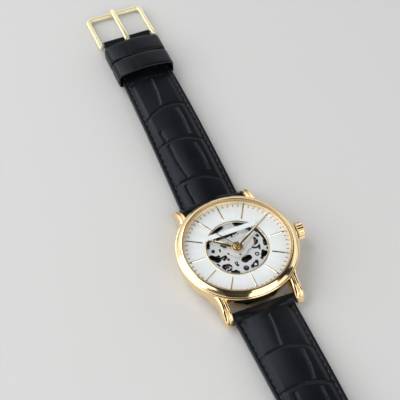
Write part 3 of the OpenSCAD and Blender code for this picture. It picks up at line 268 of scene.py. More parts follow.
class Finish:
    """A material under construction: its Principled shader and the nodes that feed it."""

    def __init__(self, name, colour, metallic, roughness):
        self.material = bpy.data.materials.new(name)
        self.material.use_nodes = True
        self.tree = self.material.node_tree
        self.tree.nodes.clear()
        self.out = add(self.tree, "ShaderNodeOutputMaterial", (700, 0))
        self.shader = add(self.tree, "ShaderNodeBsdfPrincipled", (400, 0),
                          {"Base Color": (*colour, 1.0), "Metallic": metallic, "Roughness": roughness})
        self.place = add(self.tree, "ShaderNodeTexCoord", (-900, 0))
        wire(self.tree, (self.shader, 0), (self.out, 0))
        self.material.diffuse_color = (*colour, 1.0)
        self.row = 0

    def effect(self, tree, **values):
        self.row -= 260
        new = add(self.tree, "ShaderNodeGroup", (-500, self.row), node_tree=tree)
        for key, value in values.items():  # the inputs are there once the group is set
            new.inputs[key].default_value = value
        wire(self.tree, (self.place, "Object"), (new, "Place"))
        return new

    def bump(self, effect, strength, depth):
        bump = add(self.tree, "ShaderNodeBump", (100, self.row),
                   {"Strength": strength, "Distance": depth * MM})
        wire(self.tree, (effect, "Height"), (bump, "Height"), (bump, 0), (self.shader, "Normal"))
        return self

    def between(self, source, output, socket, first, second, span=(0.3, 0.7)):
        """Feeds a socket with values or colours between two ends, led by a mask."""
        ramp = add(self.tree, "ShaderNodeMapRange", (-200, self.row + 120),
                   {"From Min": span[0], "From Max": span[1]})
        wire(self.tree, (source, output), (ramp, "Value"))
        if isinstance(first, tuple):
            mix = add(self.tree, "ShaderNodeMix", (50, self.row + 120), data_type="RGBA")
            mix.inputs[6].default_value = (*first, 1.0)
            mix.inputs[7].default_value = (*second, 1.0)
            wire(self.tree, (ramp, 0), (mix, 0), (mix, 2), (self.shader, socket))
        else:
            ramp.inputs["To Min"].default_value = first
            ramp.inputs["To Max"].default_value = second
            wire(self.tree, (ramp, 0), (self.shader, socket))
        return self


def tinted(colour, factor):
    return tuple(min(1.0, c * factor) for c in colour)


def polished(name, colour, roughness, drift):
    made = Finish(name, colour, 1.0, roughness)
    marked = made.effect(polish_marks(), Scale=260.0, Roughness=roughness, Drift=drift)
    wire(made.tree, (marked, "Roughness"), (made.shader, "Roughness"))
    made.between(marked, "Height", "Base Color", tinted(colour, 0.96), tinted(colour, 1.03))
    return made.bump(marked, 0.008, 0.02).material


def worked(name, colour, metallic, roughness, grain, tint, gloss, strength, depth, mask="Height",
           **values):
    """A finish whose colour and roughness vary by the shares given, with its grain as a bump."""
    made = Finish(name, colour, metallic, roughness)
    effect = made.effect(grain, **values)
    if gloss:
        made.between(effect, "Height", "Roughness", roughness * gloss[0], min(1.0, roughness * gloss[1]))
    if tint:
        made.between(effect, mask, "Base Color", tinted(colour, tint[0]), tinted(colour, tint[1]))
    return made.bump(effect, strength, depth)


def satin(name, colour, grain, roughness, strength=0.2, depth=0.02, metallic=1.0, **values):
    return worked(name, colour, metallic, roughness, grain, (0.86, 1.08), (0.75, 1.3), strength, depth,
                  **values).material


def plain_finish(name, colour, roughness, scale=2500.0, metallic=0.0, strength=0.2):
    return worked(name, colour, metallic, roughness, frosted_grain(), (0.88, 1.1), (0.85, 1.15), strength,
                  0.02, "Cloud", Scale=scale).material


def leather_finish(name, colour, roughness, scale, strength):
    made = worked(name, colour, 0.0, roughness, leather_grain(), (0.7, 1.35), (0.82, 1.2), strength, 0.05,
                  "Cloud", Scale=scale)
    made.shader.inputs["Specular IOR Level"].default_value = 0.22
    made.shader.inputs["Specular Tint"].default_value = (0.78, 0.88, 1.0, 1.0)
    return made.material


def dial_finish(name, colour):
    made = Finish(name, colour, 0.12, 0.34)
    # a few broad rays make sectors of the dial lighter and darker: painted sheen of the sunray finish
    broad = made.effect(sunray_grain_and_sheen(), Rays=3.0)
    made.between(broad, "Height", "Base Color", tinted(colour, 0.95), tinted(colour, 1.03))
    rays = made.effect(sunray_grain_and_sheen(), Rays=55.0)
    made.between(rays, "Height", "Roughness", 0.28, 0.42)
    return made.bump(rays, 0.06, 0.02).material


def glass_finish(name):
    made = Finish(name, (0.97, 0.99, 1.0), 0.0, 0.015)
    made.shader.inputs["Transmission Weight"].default_value = 1.0
    made.shader.inputs["IOR"].default_value = 1.5
    marks = made.effect(polish_marks(), Scale=180.0, Roughness=0.012, Drift=0.012)
    made.between(marks, "Roughness", "Roughness", 0.004, 0.02, span=(0.0, 0.03))
    # light and what lies beneath pass straight through, apart from the gloss
    clear = add(made.tree, "ShaderNodeBsdfTransparent", (400, -420),
                {"Color": (0.97, 0.98, 0.98, 1.0)})
    path = add(made.tree, "ShaderNodeLightPath", (100, 420))
    gloss = add(made.tree, "ShaderNodeFresnel", (100, 260), {"IOR": 1.35})
    seen = maths(made.tree, (300, 420), "MULTIPLY")
    # only the side that faces the viewer is glossy, or the slab would trap light at low angles
    side = add(made.tree, "ShaderNodeNewGeometry", (-100, 600))
    front = maths(made.tree, (100, 600), "SUBTRACT", {0: 1.0})
    facing = maths(made.tree, (460, 420), "MULTIPLY")
    mix = add(made.tree, "ShaderNodeMixShader", (600, 200))
    made.out.location = (850, 0)
    wire(made.tree, (path, "Is Camera Ray"), (seen, 0), (gloss, 0), (seen, 1),
         (side, "Backfacing"), (front, 1), (seen, 0), (facing, 0), (front, 0), (facing, 1),
         (facing, 0), (mix, 0), (clear, 0), (mix, 1), (made.shader, 0), (mix, 2), (mix, 0), (made.out, 0))
    return made.material


def make_finishes():
    c = {key: tuple(getattr(colours(), key)) for key in WATCH_PG_colours.__annotations__}
    gold, rings, stripes = c["gold"], turned_grain(), striped_grain()
    return {
        "gold": polished("Polished gold", gold, 0.09, 0.07),
        "bezel": satin("Bezel gold", gold, rings, 0.1, 0.05, 0.01, Scale=2500.0),
        "flange": satin("Flange pale gold", (0.95, 0.74, 0.47), rings, 0.26, Scale=5000.0),
        "hub": polished("Hub gold", (0.95, 0.68, 0.34), 0.2, 0.08),
        "buckle_gold": satin("Buckle gold", (0.98, 0.86, 0.55), rings, 0.16, 0.05, 0.01, 0.5,
                             Scale=2500.0),
        # near-black finish for the grooves and wells of the main plate: painted shade in the recesses
        "dark_recess": plain_finish("Dark recess", (0.02, 0.02, 0.022), 0.5, 4000.0, 0.3),
        "pale_gold": polished("Pale gold", c["pale_gold"], 0.14, 0.06),
        "dial": dial_finish("Dial silvering", c["dial"]),
        "ink": plain_finish("Minute track ink", (0.03, 0.03, 0.035), 0.5),
        "rhodium": satin("Frosted rhodium", c["rhodium"], frosted_grain(), 0.4, 0.3, 0.03, 0.4,
                         Scale=5000.0),
        "dark_rhodium": satin("Dark rhodium", c["dark_rhodium"], stripes, 0.38, 0.15, Stripes=70.0),
        "striped_gold": satin("Striped gold", gold, stripes, 0.3, Stripes=70.0),
        "satin_gold": satin("Satin gold", gold, rings, 0.28, Scale=3500.0),
        "steel": polished("Polished steel", c["steel"], 0.2, 0.1),
        "brass": satin("Turned brass", c["brass"], frosted_grain(), 0.3, Scale=5000.0),
        "blued": polished("Blued steel", c["blued"], 0.2, 0.1),
        "ruby": plain_finish("Ruby", c["ruby"], 0.12, 4000.0, 0.0, 0.03),
        "glass": glass_finish("Mineral glass"),
        "gasket_white": plain_finish("Nylon gasket", (0.45, 0.3, 0.16), 0.35),
        "gasket_black": plain_finish("Black gasket", (0.02, 0.02, 0.02), 0.6),
        "holder": plain_finish("Movement holder", (0.3, 0.3, 0.3), 0.5),
        "leather": leather_finish("Scaled black leather", c["leather"], 0.29, 2200.0, 0.16),
        "keeper_leather": leather_finish("Keeper leather", c["leather"], 0.27, 3000.0, 0.12),
        "lining": leather_finish("Strap lining", c["lining"], 0.62, 3500.0, 0.35),
        "edge_paint": plain_finish("Edge paint", (0.008, 0.008, 0.01), 0.3, 1500.0, 0.0, 0.1),
        "thread": worked("Waxed thread", c["thread"], 0.0, 0.5, stripes, None, (0.8, 1.24), 0.4, 0.04,
                         Stripes=900.0).material,
        "floor": worked("Floor", c["floor"], 0.0, 0.7, frosted_grain(), (0.985, 1.015), None, 0.03, 0.02,
                        Scale=900.0).material,
    }


FINISHES = {}
# The finish of a material slot, where the two aren't named alike
SLOT_FINISH = {"gold_case": "gold", "dial_white": "dial", "blued_steel": "blued",
               "leather": "keeper_leather"}


def finish_of(key):
    if not FINISHES:
        FINISHES.update(make_finishes())
    return FINISHES[key]


# ---------------------------------------------------------------- shaping helpers (millimetres)

def clamp(value):
    """The value, kept from 0 to 1."""
    return max(0.0, min(1.0, value))


def quadratic(t, a, b, c):
    """A point at a share t of the curve that leaves a towards b and ends at c."""
    return a * (1 - t) ** 2 + b * (2 * t * (1 - t)) + c * t * t


def linked(name, data):
    """A new object in the scene."""
    made = bpy.data.objects.new(name, data)
    bpy.context.scene.collection.objects.link(made)
    return made


def object_of(name, bm):
    """A new object in the scene with the shape as its mesh."""
    mesh = bpy.data.meshes.new(name)
    bm.to_mesh(mesh)
    bm.free()
    return linked(name, mesh)


def turned_and_moved(bm, radians, axis, move=(0, 0, 0)):
    """Turns a shape about an axis through the origin, then moves it."""
    bmesh.ops.rotate(bm, verts=bm.verts, cent=(0, 0, 0), matrix=Matrix.Rotation(radians, 3, axis))
    bmesh.ops.translate(bm, verts=bm.verts, vec=move)
    return bm


def block(bm, degrees, at, size):
    """A box set out from the middle and turned about it; gives its corners."""
    return bmesh.ops.create_cube(bm, size=1.0, matrix=Matrix.Rotation(math.radians(degrees), 4, "Z")
                                 @ Matrix.Translation(at) @ Matrix.Diagonal((*size, 1.0)))["verts"]


def place_piece(name, bm, finishes, stands_for, smooth=35.0, body=None):
    """Puts a shape made in millimetres into the scene, in place of the CAD nodes it stands for."""
    bmesh.ops.scale(bm, vec=(MM, MM, MM), verts=bm.verts)
    piece = object_of(name, bm)
    for key in finishes:
        piece.data.materials.append(finish_of(key))
    piece.data.shade_smooth()
    piece.data.set_sharp_from_angle(angle=math.radians(smooth))
    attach(piece, body or BODY_OF[stands_for[0]])
    if stands_for:
        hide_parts(*stands_for)
    return piece


def soften_edges(piece, width, segments=3, angle=40.0):
    bevel = piece.modifiers.new("Soft edges", "BEVEL")
    bevel.width = width * MM
    bevel.segments = segments
    bevel.limit_method = "ANGLE"
    bevel.angle_limit = math.radians(angle)
    bevel.harden_normals = True
    return piece


def node_shape(node):
    """A merged copy of a CAD node's shape, in millimetres."""
    bm = bmesh.new()
    bm.from_mesh(NODES[node].data)
    bmesh.ops.scale(bm, vec=(1 / MM, 1 / MM, 1 / MM), verts=bm.verts)
    bmesh.ops.remove_doubles(bm, verts=bm.verts, dist=0.002)
    bmesh.ops.dissolve_limit(bm, angle_limit=math.radians(0.4), verts=bm.verts, edges=bm.edges)
    return bm


def finished_copy(node, finish, width, name=None, segments=2):
    """A merged copy of a CAD node with softened edges, which stands for it."""
    piece = place_piece(name or node + "_finished", node_shape(node), [finish], [node])
    return soften_edges(piece, width, segments)


def rounded_path(points, cut, steps=4, closed=True):
    """The same outline with each corner cut back by at most cut and rounded."""
    out = []
    count = len(points)
    for i, point in enumerate(points):
        here = Vector(point)
        if not closed and i in (0, count - 1):
            out.append(here)
            continue
        before, after = Vector(points[i - 1]), Vector(points[(i + 1) % count])
        a = here + (before - here) * min(0.45, cut / max((before - here).length, 1e-6))
        b = here + (after - here) * min(0.45, cut / max((after - here).length, 1e-6))
        out += [quadratic(k / steps, a, here, b) for k in range(steps + 1)]
    return out


def turned_shape(profile, cut=0.0, steps=None, corner_steps=4):
    """A closed profile of (radius, height) turned round the watch's middle."""
    points = rounded_path(profile, cut, corner_steps) if cut else [Vector(p) for p in profile]
    bm = bmesh.new()
    verts = [bm.verts.new((p[0], 0.0, p[1])) for p in points]
    edges = [bm.edges.new((verts[i], verts[(i + 1) % len(verts)])) for i in range(len(verts))]
    bmesh.ops.spin(bm, geom=verts + edges, cent=(0, 0, 0), axis=(0, 0, 1), dvec=(0, 0, 0),
                   angle=2 * math.pi, steps=steps or sizes().turning_steps, use_merge=True)
    bmesh.ops.remove_doubles(bm, verts=bm.verts, dist=0.0005)
    bmesh.ops.dissolve_degenerate(bm, dist=0.0002, edges=bm.edges)
    bmesh.ops.recalc_face_normals(bm, faces=bm.faces)
    return bm


def lofted_shape(sections, closed=False, bm=None):
    """A skin over rings of points, capped at both ends unless it runs round."""
    bm = bm or bmesh.new()
    start = len(bm.verts)
    rings = []
    for section in sections:
        ring = bmesh.ops.create_circle(bm, segments=len(section), radius=1.0)["verts"]
        for vert, point in zip(ring, section):
            vert.co = point
        edges = set(e for v in ring for e in v.link_edges)
        rings.append(list(edges))
    last = len(rings) if closed else len(rings) - 1
    for i in range(last):
        bmesh.ops.bridge_loops(bm, edges=rings[i] + rings[(i + 1) % len(rings)])
    if not closed:
        for ring in (rings[0], rings[-1]):
            bmesh.ops.edgeloop_fill(bm, edges=ring)
    bm.verts.ensure_lookup_table()
    fresh = bm.verts[start:]
    bmesh.ops.recalc_face_normals(bm, faces=list(set(f for v in fresh for f in v.link_faces)))
    return bm


def soft_box_section(half_w, half_h, power, count):
    """Points round a rectangle with soft corners."""
    points = []
    for k in range(count):
        t = 2 * math.pi * (k + 0.5) / count
        c, s = math.cos(t), math.sin(t)
        points.append((math.copysign(abs(c) ** (2 / power), c) * half_w,
                       math.copysign(abs(s) ** (2 / power), s) * half_h))
    return points


def ring_pocket(tool, x, y, inner, outer, z0, z1, start, sweep):
    """Adds a round groove, or an arc of one with flat ends, to a cutter."""
    middle = (inner + outer) / 2
    count = max(4, int(sweep / 9))
    sections = []
    for k in range(count if sweep >= 360 else count + 1):
        a = math.radians(start + sweep * k / count)
        out = Vector((math.cos(a), math.sin(a), 0.0))
        rim = ((inner, z0), (inner, z1), (middle, z1), (outer, z1), (outer, z0), (middle, z0))
        sections.append([Vector((x, y, z)) + out * radius for radius, z in rim])
    return lofted_shape(sections, closed=sweep >= 360, bm=tool)


def cut_away(bm, tool):
    """Takes the tool's shape out of another."""
    bmesh.ops.recalc_face_normals(tool, faces=tool.faces)
    work, cutter = object_of("work", bm), object_of("tool", tool)
    modifier = work.modifiers.new("Cut", "BOOLEAN")
    modifier.operation = "DIFFERENCE"
    modifier.solver = "EXACT"
    modifier.use_self = True
    modifier.object = cutter
    out = bmesh.new()
    out.from_object(work, bpy.context.evaluated_depsgraph_get())
    for thing in (work, cutter):
        data = thing.data
        bpy.data.objects.remove(thing)
        bpy.data.meshes.remove(data)
    return out


# ---------------------------------------------------------------- case

def case_band_shape():
    r, top = high("case_middle").x, high("case_middle").z
    bm = turned_shape([
        (18.0, 1.95), (18.5, 1.95), (18.5, 1.55), (r - 1.9, 1.55), (r - 1.3, 1.9), (r - 0.5, 3.95),
        (r - 0.12, 6.15), (r, 7.7), (r, 8.25), (r - 0.12, 8.55), (r - 0.4, 8.7), (19.2, 8.7),
        (19.2, top), (18.45, top), (18.45, 7.9), (18.0, 7.9)], cut=0.16)
    # room for the looped end of each half of the strap
    gap, room = high("strap_12").x + 0.2, bmesh.new()
    near, deep, tall = joint_place("strap_12_hinge").y - 2.35, 5.0, 6.1
    for end in (-1, 1):
        block(room, 0, (0, end * (near + deep / 2), tall / 2), (2 * gap, deep, tall))
    return cut_away(bm, room)


def lug_shape(bm, side, end):
    """One lug, swept from the case's flank down to its tip, with a groove along its back."""
    tip = high("case_middle").y
    # the outer side leaves the case along an arc and then runs straight, at a fixed width
    inner, width, sweep, root = 10.9, 3.5, 8.5, 13.3
    sweep_x = inner + width + sweep
    sweep_y = math.sqrt((high("bezel").x + 0.4 + sweep) ** 2 - sweep_x ** 2)
    # the section is a soft box whose top is replaced by close points about the groove
    box = [p for p in soft_box_section(1.0, 1.0, 3.2, 44) if p[1] < 0.9 or abs(p[0]) > 0.62]
    groove = [("groove", o) for o in (0.7, 0.45, 0.28, 0.18, 0.09, 0.0, -0.09, -0.18, -0.28, -0.45, -0.7)]
    section = ([p for p in box if p[1] >= 0 and p[0] > 0] + groove
               + [p for p in box if p[1] >= 0 and p[0] < 0] + [p for p in box if p[1] < 0])
    rounded, fading = 1.2, 1.6
    stations = [root + (tip - rounded - root) * k / 30 for k in range(31)]
    stations += [tip - rounded + 1.19 * math.sin(math.pi / 2 * k / 9) for k in range(1, 10)]

    def bend(a, b, c, y):
        """Height of a curve, given by three (distance, height) points, at a distance."""
        t = clamp((y - a[0]) / (c[0] - a[0]))
        for _ in range(12):
            slope = 2 * (1 - t) * (b[0] - a[0]) + 2 * t * (c[0] - b[0])
            t = clamp(t - (quadratic(t, a[0], b[0], c[0]) - y) / max(slope, 1e-3))
        return quadratic(t, a[1], b[1], c[1])

    sections = []
    for y in stations:
        x_in = math.sqrt(max(inner ** 2, 18.6 ** 2 - y * y))
        x_out = inner + width
        if y < sweep_y:
            x_out = sweep_x - math.sqrt(sweep ** 2 - (y - sweep_y) ** 2)
        z_top = bend((13.0, 8.4), (tip - 2.2, 7.9), (tip, 2.6), y)
        z_low = bend((13.0, 1.95), (tip - 0.9, 0.1), (tip, 1.7), y)
        cx, cz = (x_in + x_out) / 2, (z_top + z_low) / 2
        hx, hz = (x_out - x_in) / 2, (z_top - z_low) / 2
        if y > tip - fading:
            fade = math.sqrt(max(0.0, 1.0 - ((y - tip + fading) / 1.61) ** 2))
            hx *= 0.35 + 0.65 * fade
            hz *= 0.15 + 0.85 * fade
        mid = inner + width / 2 + 0.3 * (x_out - inner - width)
        deep = 0.7 * clamp((y - 15.5) / 3) * clamp(tip - 0.5 - y)
        ring = []
        for u, v in section:
            if u == "groove":
                x = mid + v if hx >= 0.9 else cx + v * hx
                z = cz + hz * (0.995 - 0.06 * v * v) - deep * math.exp(-(v / 0.2) ** 2)
            else:
                x, z = cx + u * hx, cz + v * hz
            ring.append((side * x, end * y, z))
        sections.append(ring)
    return lofted_shape(sections, bm=bm)


class WATCH_OT_case(Operator):
    """Builds the case band, its four lugs and the bezel"""
    bl_idname = "watch.case"
    bl_label = "Case and bezel"

    def execute(self, context):
        place_piece("case_band", case_band_shape(), ["gold"], ["case_middle"], smooth=40)
        lugs = bmesh.new()
        for side in (-1, 1):
            for end in (-1, 1):
                lug_shape(lugs, side, end)
        place_piece("lugs", lugs, ["gold"], [], smooth=60, body="case")
        r, bore, z0, top = high("bezel").x, 18.47, low("bezel").z, high("bezel").z
        place_piece("bezel_ring", turned_shape([
            (19.22, z0), (r - 0.25, z0), (r, z0 + 0.15), (r - 0.05, z0 + 0.27),
            (r - 0.86, z0 + 0.99), (r - 1.55, z0 + 1.39), (r - 1.89, top), (bore, top - 0.04),
            (bore, 9.37), (19.22, 9.37)], cut=0.22, corner_steps=5), ["bezel"], ["bezel"], smooth=50)
        finished_copy("case_back", "satin_gold", 0.08)
        finished_copy("crown_tube", "gold", 0.06)
        return {"FINISHED"}


class WATCH_OT_crown(Operator):
    """Builds the fluted crown"""
    bl_idname = "watch.crown"
    bl_label = "Crown"

    def execute(self, context):
        finished_copy("crown", "gold", 0.1, "fluted_crown", 3)
        return {"FINISHED"}


# ---------------------------------------------------------------- dial and hands

class WATCH_OT_dial(Operator):
    """Builds the dial with its minute track, batons, flange and opening rim"""
    bl_idname = "watch.dial"
    bl_label = "Dial"

    def execute(self, context):
        s = sizes()
        outer, top, under = high("dial").x, high("dial").z, low("dial").z
        opening = -low("dial_opening_rim").x - 0.55
        place_piece("dial_plate", turned_shape([(opening, under), (outer, under), (outer, top),
                                                (opening, top)], cut=0.05), ["dial"], ["dial"])
        ticks = bmesh.new()
        long, wide = s.tick_length / MM, s.tick_width / MM
        for minute in range(60):
            at, size = ((16.95, (wide, long, 0.03)) if minute % 5
                        else (16.9, (wide * 1.6, long * 1.3, 0.03)))
            block(ticks, 6 * minute, (0, at, top + 0.01), size)
        place_piece("minute_track", ticks, ["ink"], [], body="case")
        batons = bmesh.new()
        reach, long, tall = high("hour_batons").y, 4.7, 0.22
        for hour in range(12):
            corners = block(batons, -30 * hour, (0, reach - long / 2, top + tall / 2), (0.5, long, tall))
            upper = [e for v in corners for e in v.link_edges
                     if min(w.co.z for w in e.verts) > top + 0.2]
            bmesh.ops.bevel(batons, geom=list(set(upper)), offset=0.13, segments=1, profile=0.5,
                            affect="EDGES", material=-1)
        place_piece("applied_batons", batons, ["pale_gold"], ["hour_batons"], smooth=20)
        place_piece("opening_rim", turned_shape([
            (opening, top), (opening + 0.55, top), (opening + 0.42, top + 0.13),
            (opening + 0.1, top + 0.16), (opening, top + 0.1)], cut=0.06),
            ["flange"], ["dial_opening_rim"], smooth=50)
        inner = high("inner_flange").x
        seat = 9.4  # height at which the glass rests on the flange
        place_piece("flange_ring", turned_shape([
            (17.5, top), (inner, top), (inner, seat), (17.96, seat)], cut=0.05),
            ["flange"], ["inner_flange"])
        place_piece("crystal_glass", turned_shape([
            (0.0, seat), (18.06, seat), (18.06, 10.15), (17.81, 10.38), (9.0, 10.47), (0.0, 10.5)]),
            ["glass"], ["crystal"], smooth=20)
        finished_copy("dial_bar", "dial", 0.05)
        return {"FINISHED"}


def hand_shape(reach, width, belly, tail, z, thick, ridge, angle):
    """A tapering hand with a ridge along its middle."""
    bm = bmesh.new()
    rows = 24
    made = bmesh.ops.create_grid(bm, x_segments=4, y_segments=rows, size=1.0)
    outline = [(-tail, 0.0), (0.0, width * 0.34), (reach * belly, width / 2), (reach, 0.02)]
    if not tail:
        outline = outline[1:]
    for vert in made["verts"]:
        u, t = vert.co.x, (vert.co.y + 1) / 2
        y = outline[0][0] + t * (reach - outline[0][0])
        for (y0, w0), (y1, w1) in zip(outline, outline[1:]):
            if y0 <= y <= y1:
                half = w0 + (w1 - w0) * (y - y0) / (y1 - y0)
                break
        vert.co = (u * half, y, z + thick * 0.55 + (1 - abs(u)) * ridge * min(1.0, half / 0.3))
    top = bmesh.ops.extrude_face_region(bm, geom=bm.faces[:], use_keep_orig=True)
    for vert in top["geom"]:
        if isinstance(vert, bmesh.types.BMVert):
            vert.co.z = z
    bmesh.ops.recalc_face_normals(bm, faces=bm.faces)
    return turned_and_moved(bm, math.radians(angle), "Z")


def add_boss(bm, r, bore, z0, z1):
    """A round boss with a softened rim, added to a hand."""
    boss = turned_shape([(bore, z0), (r, z0), (r, z1 - 0.02), (bore, z1)], cut=0.08, steps=64)
    mesh = bpy.data.meshes.new("boss")
    boss.to_mesh(mesh)
    boss.free()
    bm.from_mesh(mesh)
    bpy.data.meshes.remove(mesh)
    return bm


class WATCH_OT_hands(Operator):
    """Builds the hour, minute and second hands"""
    bl_idname = "watch.hands"
    bl_label = "Hands"

    def execute(self, context):
        ridge = sizes().hand_ridge / MM
        for node, reach, width, belly, angle, hub, bore in (
                ("hour_hand", 10.4, 1.8, 0.32, 54, 1.9, 0.97),
                ("minute_hand", 15.2, 1.2, 0.28, -61.5, 1.25, 0.67)):
            z = low(node).z
            place_piece(node + "_ridged", hand_shape(reach, width, belly, 0.0, z, 0.2, ridge, angle),
                        ["pale_gold"], [node], smooth=15)
            place_piece(node + "_hub", add_boss(bmesh.new(), hub, bore, z, z + 0.3), ["hub"], [],
                        smooth=25, body=BODY_OF[node])
        z = low("second_hand").z
        second = hand_shape(15.6, 0.26, 0.5, 4.0, z, 0.12, 0.03, 33)
        add_boss(second, 0.62, 0.0, z, z + 0.36)
        place_piece("second_hand_fine", second, ["gold"], ["second_hand"], smooth=30)
        return {"FINISHED"}


# ---------------------------------------------------------------- movement

# Grooves engraved in the main plate: inner and outer radius, start and sweep in degrees
ARCS = (
    (9.7, 10.5, 0, 34), (9.5, 10.5, 96, 20), (9.2, 10.4, 58, 16), (8.5, 9.9, 36, 14),
    (9.2, 10.3, 148, 12), (9.2, 10.2, 134, 9), (4.0, 4.8, 137, 18), (6.6, 9.4, 181, 8),
    (5.2, 8.4, 190, 7.5), (4.8, 6.7, 198.5, 9), (8.8, 9.5, 200, 9), (2.1, 3.3, 258, 24),
    (8.3, 9.3, 12, 8), (9.1, 10.1, 346, 10), (8.2, 9.2, 327, 9), (8.5, 9.5, 311, 9),
    (7.2, 7.9, 336, 14), (7.0, 7.6, 222, 7), (6.2, 6.7, 243, 10), (5.6, 6.2, 160, 12),
)
# Wells in it: middle, then the same
WELLS = (
    (-6.6, -5.2, 0.4, 1.05, 0, 360), (-3.9, -8.3, 0.15, 0.8, 0, 360), (0.8, -5.0, 0.5, 1.25, 0, 360),
    (-0.2, -8.2, 0.5, 1.0, 0, 360), (3.3, -8.0, 0.5, 1.05, 0, 360), (6.3, -0.4, 1.2, 1.9, 40, 290),
    (0.9, 5.4, 0.4, 0.95, 20, 200), (2.7, 4.7, 0.35, 0.8, -60, 220), (5.4, -4.4, 0.35, 0.8, 0, 360),
    (-5.4, 5.8, 0.4, 0.95, -40, 250), (-2.5, -5.2, 0.2, 0.6, 0, 360),
)


class WATCH_OT_movement(Operator):
    """Finishes the plates, bridges, wheels and the rotor of the movement"""
    bl_idname = "watch.movement"
    bl_label = "Movement"

    def execute(self, context):
        top = low("dial").z - 0.5
        tool = bmesh.new()
        for x, y, inner, outer, start, sweep in [(0, 0, *arc) for arc in ARCS] + list(WELLS):
            ring_pocket(tool, x, y, inner, outer, top - 0.55, top + 0.3, start, sweep)
        plate = cut_away(node_shape("main_plate"), tool)
        # the floors and walls of the grooves and wells take the near-black finish: painted shade
        for face in plate.faces:
            if top - 1.0 < face.calc_center_median().z < top - 0.05:
                face.material_index = 1
        soften_edges(place_piece("main_plate_engraved", plate, ["rhodium", "dark_recess"], ["main_plate"],
                                 smooth=30), 0.04, 2, 50)
        for node, finish, width in (
                ("motion_cover", "rhodium", 0.04),
                ("barrel_bridge", "dark_rhodium", 0.07), ("train_bridge", "dark_rhodium", 0.07),
                ("balance_cock", "dark_rhodium", 0.07), ("rotor", "striped_gold", 0.08)):
            finished_copy(node, finish, width)
        return {"FINISHED"}


class WATCH_OT_inner_parts(Operator):
    """Gives every CAD piece that stays its own finish"""
    bl_idname = "watch.inner_parts"
    bl_label = "Inner parts"

    def execute(self, context):
        for name, node in NODES.items():
            node.data.materials.clear()
            node.data.materials.append(finish_of(SLOT_FINISH.get(SLOT_OF[name], SLOT_OF[name])))
        return {"FINISHED"}


# ---------------------------------------------------------------- strap

# Seams between the scales of each half: rows across, as distance from the spring bar,
# lean and bow; and lengthwise seams, as x and distance at both ends
ROWS_12 = [(11.8, -0.19, -1.2), (29.9, -0.12, -1.3), (46.1, 0.18, -1.9), (62.0, 0.05, -1.3),
           (78.0, 0, -1)]
LINES_12 = [(-5.4, 2, -5.2, 10.5), (-3.7, 13, -5.0, 28.5), (-5.3, 30.5, -5.1, 35.5),
            (-0.7, 47.3, 0.7, 61), (4.6, 31, 4.2, 44.5), (5.1, 14, 4.4, 27), (-4.8, 63, -4.6, 77),
            (4.4, 62, 4.8, 77)]
ROWS_6 = [(17.1, 0.14, 1.1), (31.8, 0.15, 0.9), (48.0, -0.1, 1.2), (64.5, 0.1, -1.0), (81.0, -0.1, 1.0),
          (97.0, 0.05, -1.0)]
LINES_6 = [(-0.1, 3, -1.2, 16.2), (4.9, 19.3, 3.4, 31.2), (4.5, 34, 3.6, 47), (-4.6, 33, -4.2, 47.5),
           (-4.5, 50, -4.2, 63), (3.8, 50, 4.2, 63), (-4.0, 66, -4.4, 79.5), (4.4, 66, 4.0, 79.5)]


def rounding(d, radius):
    """How far a rounded edge falls away, at a distance from it."""
    return radius - math.sqrt(max(0.0, radius ** 2 - (radius - d) ** 2)) if d < radius else 0.0


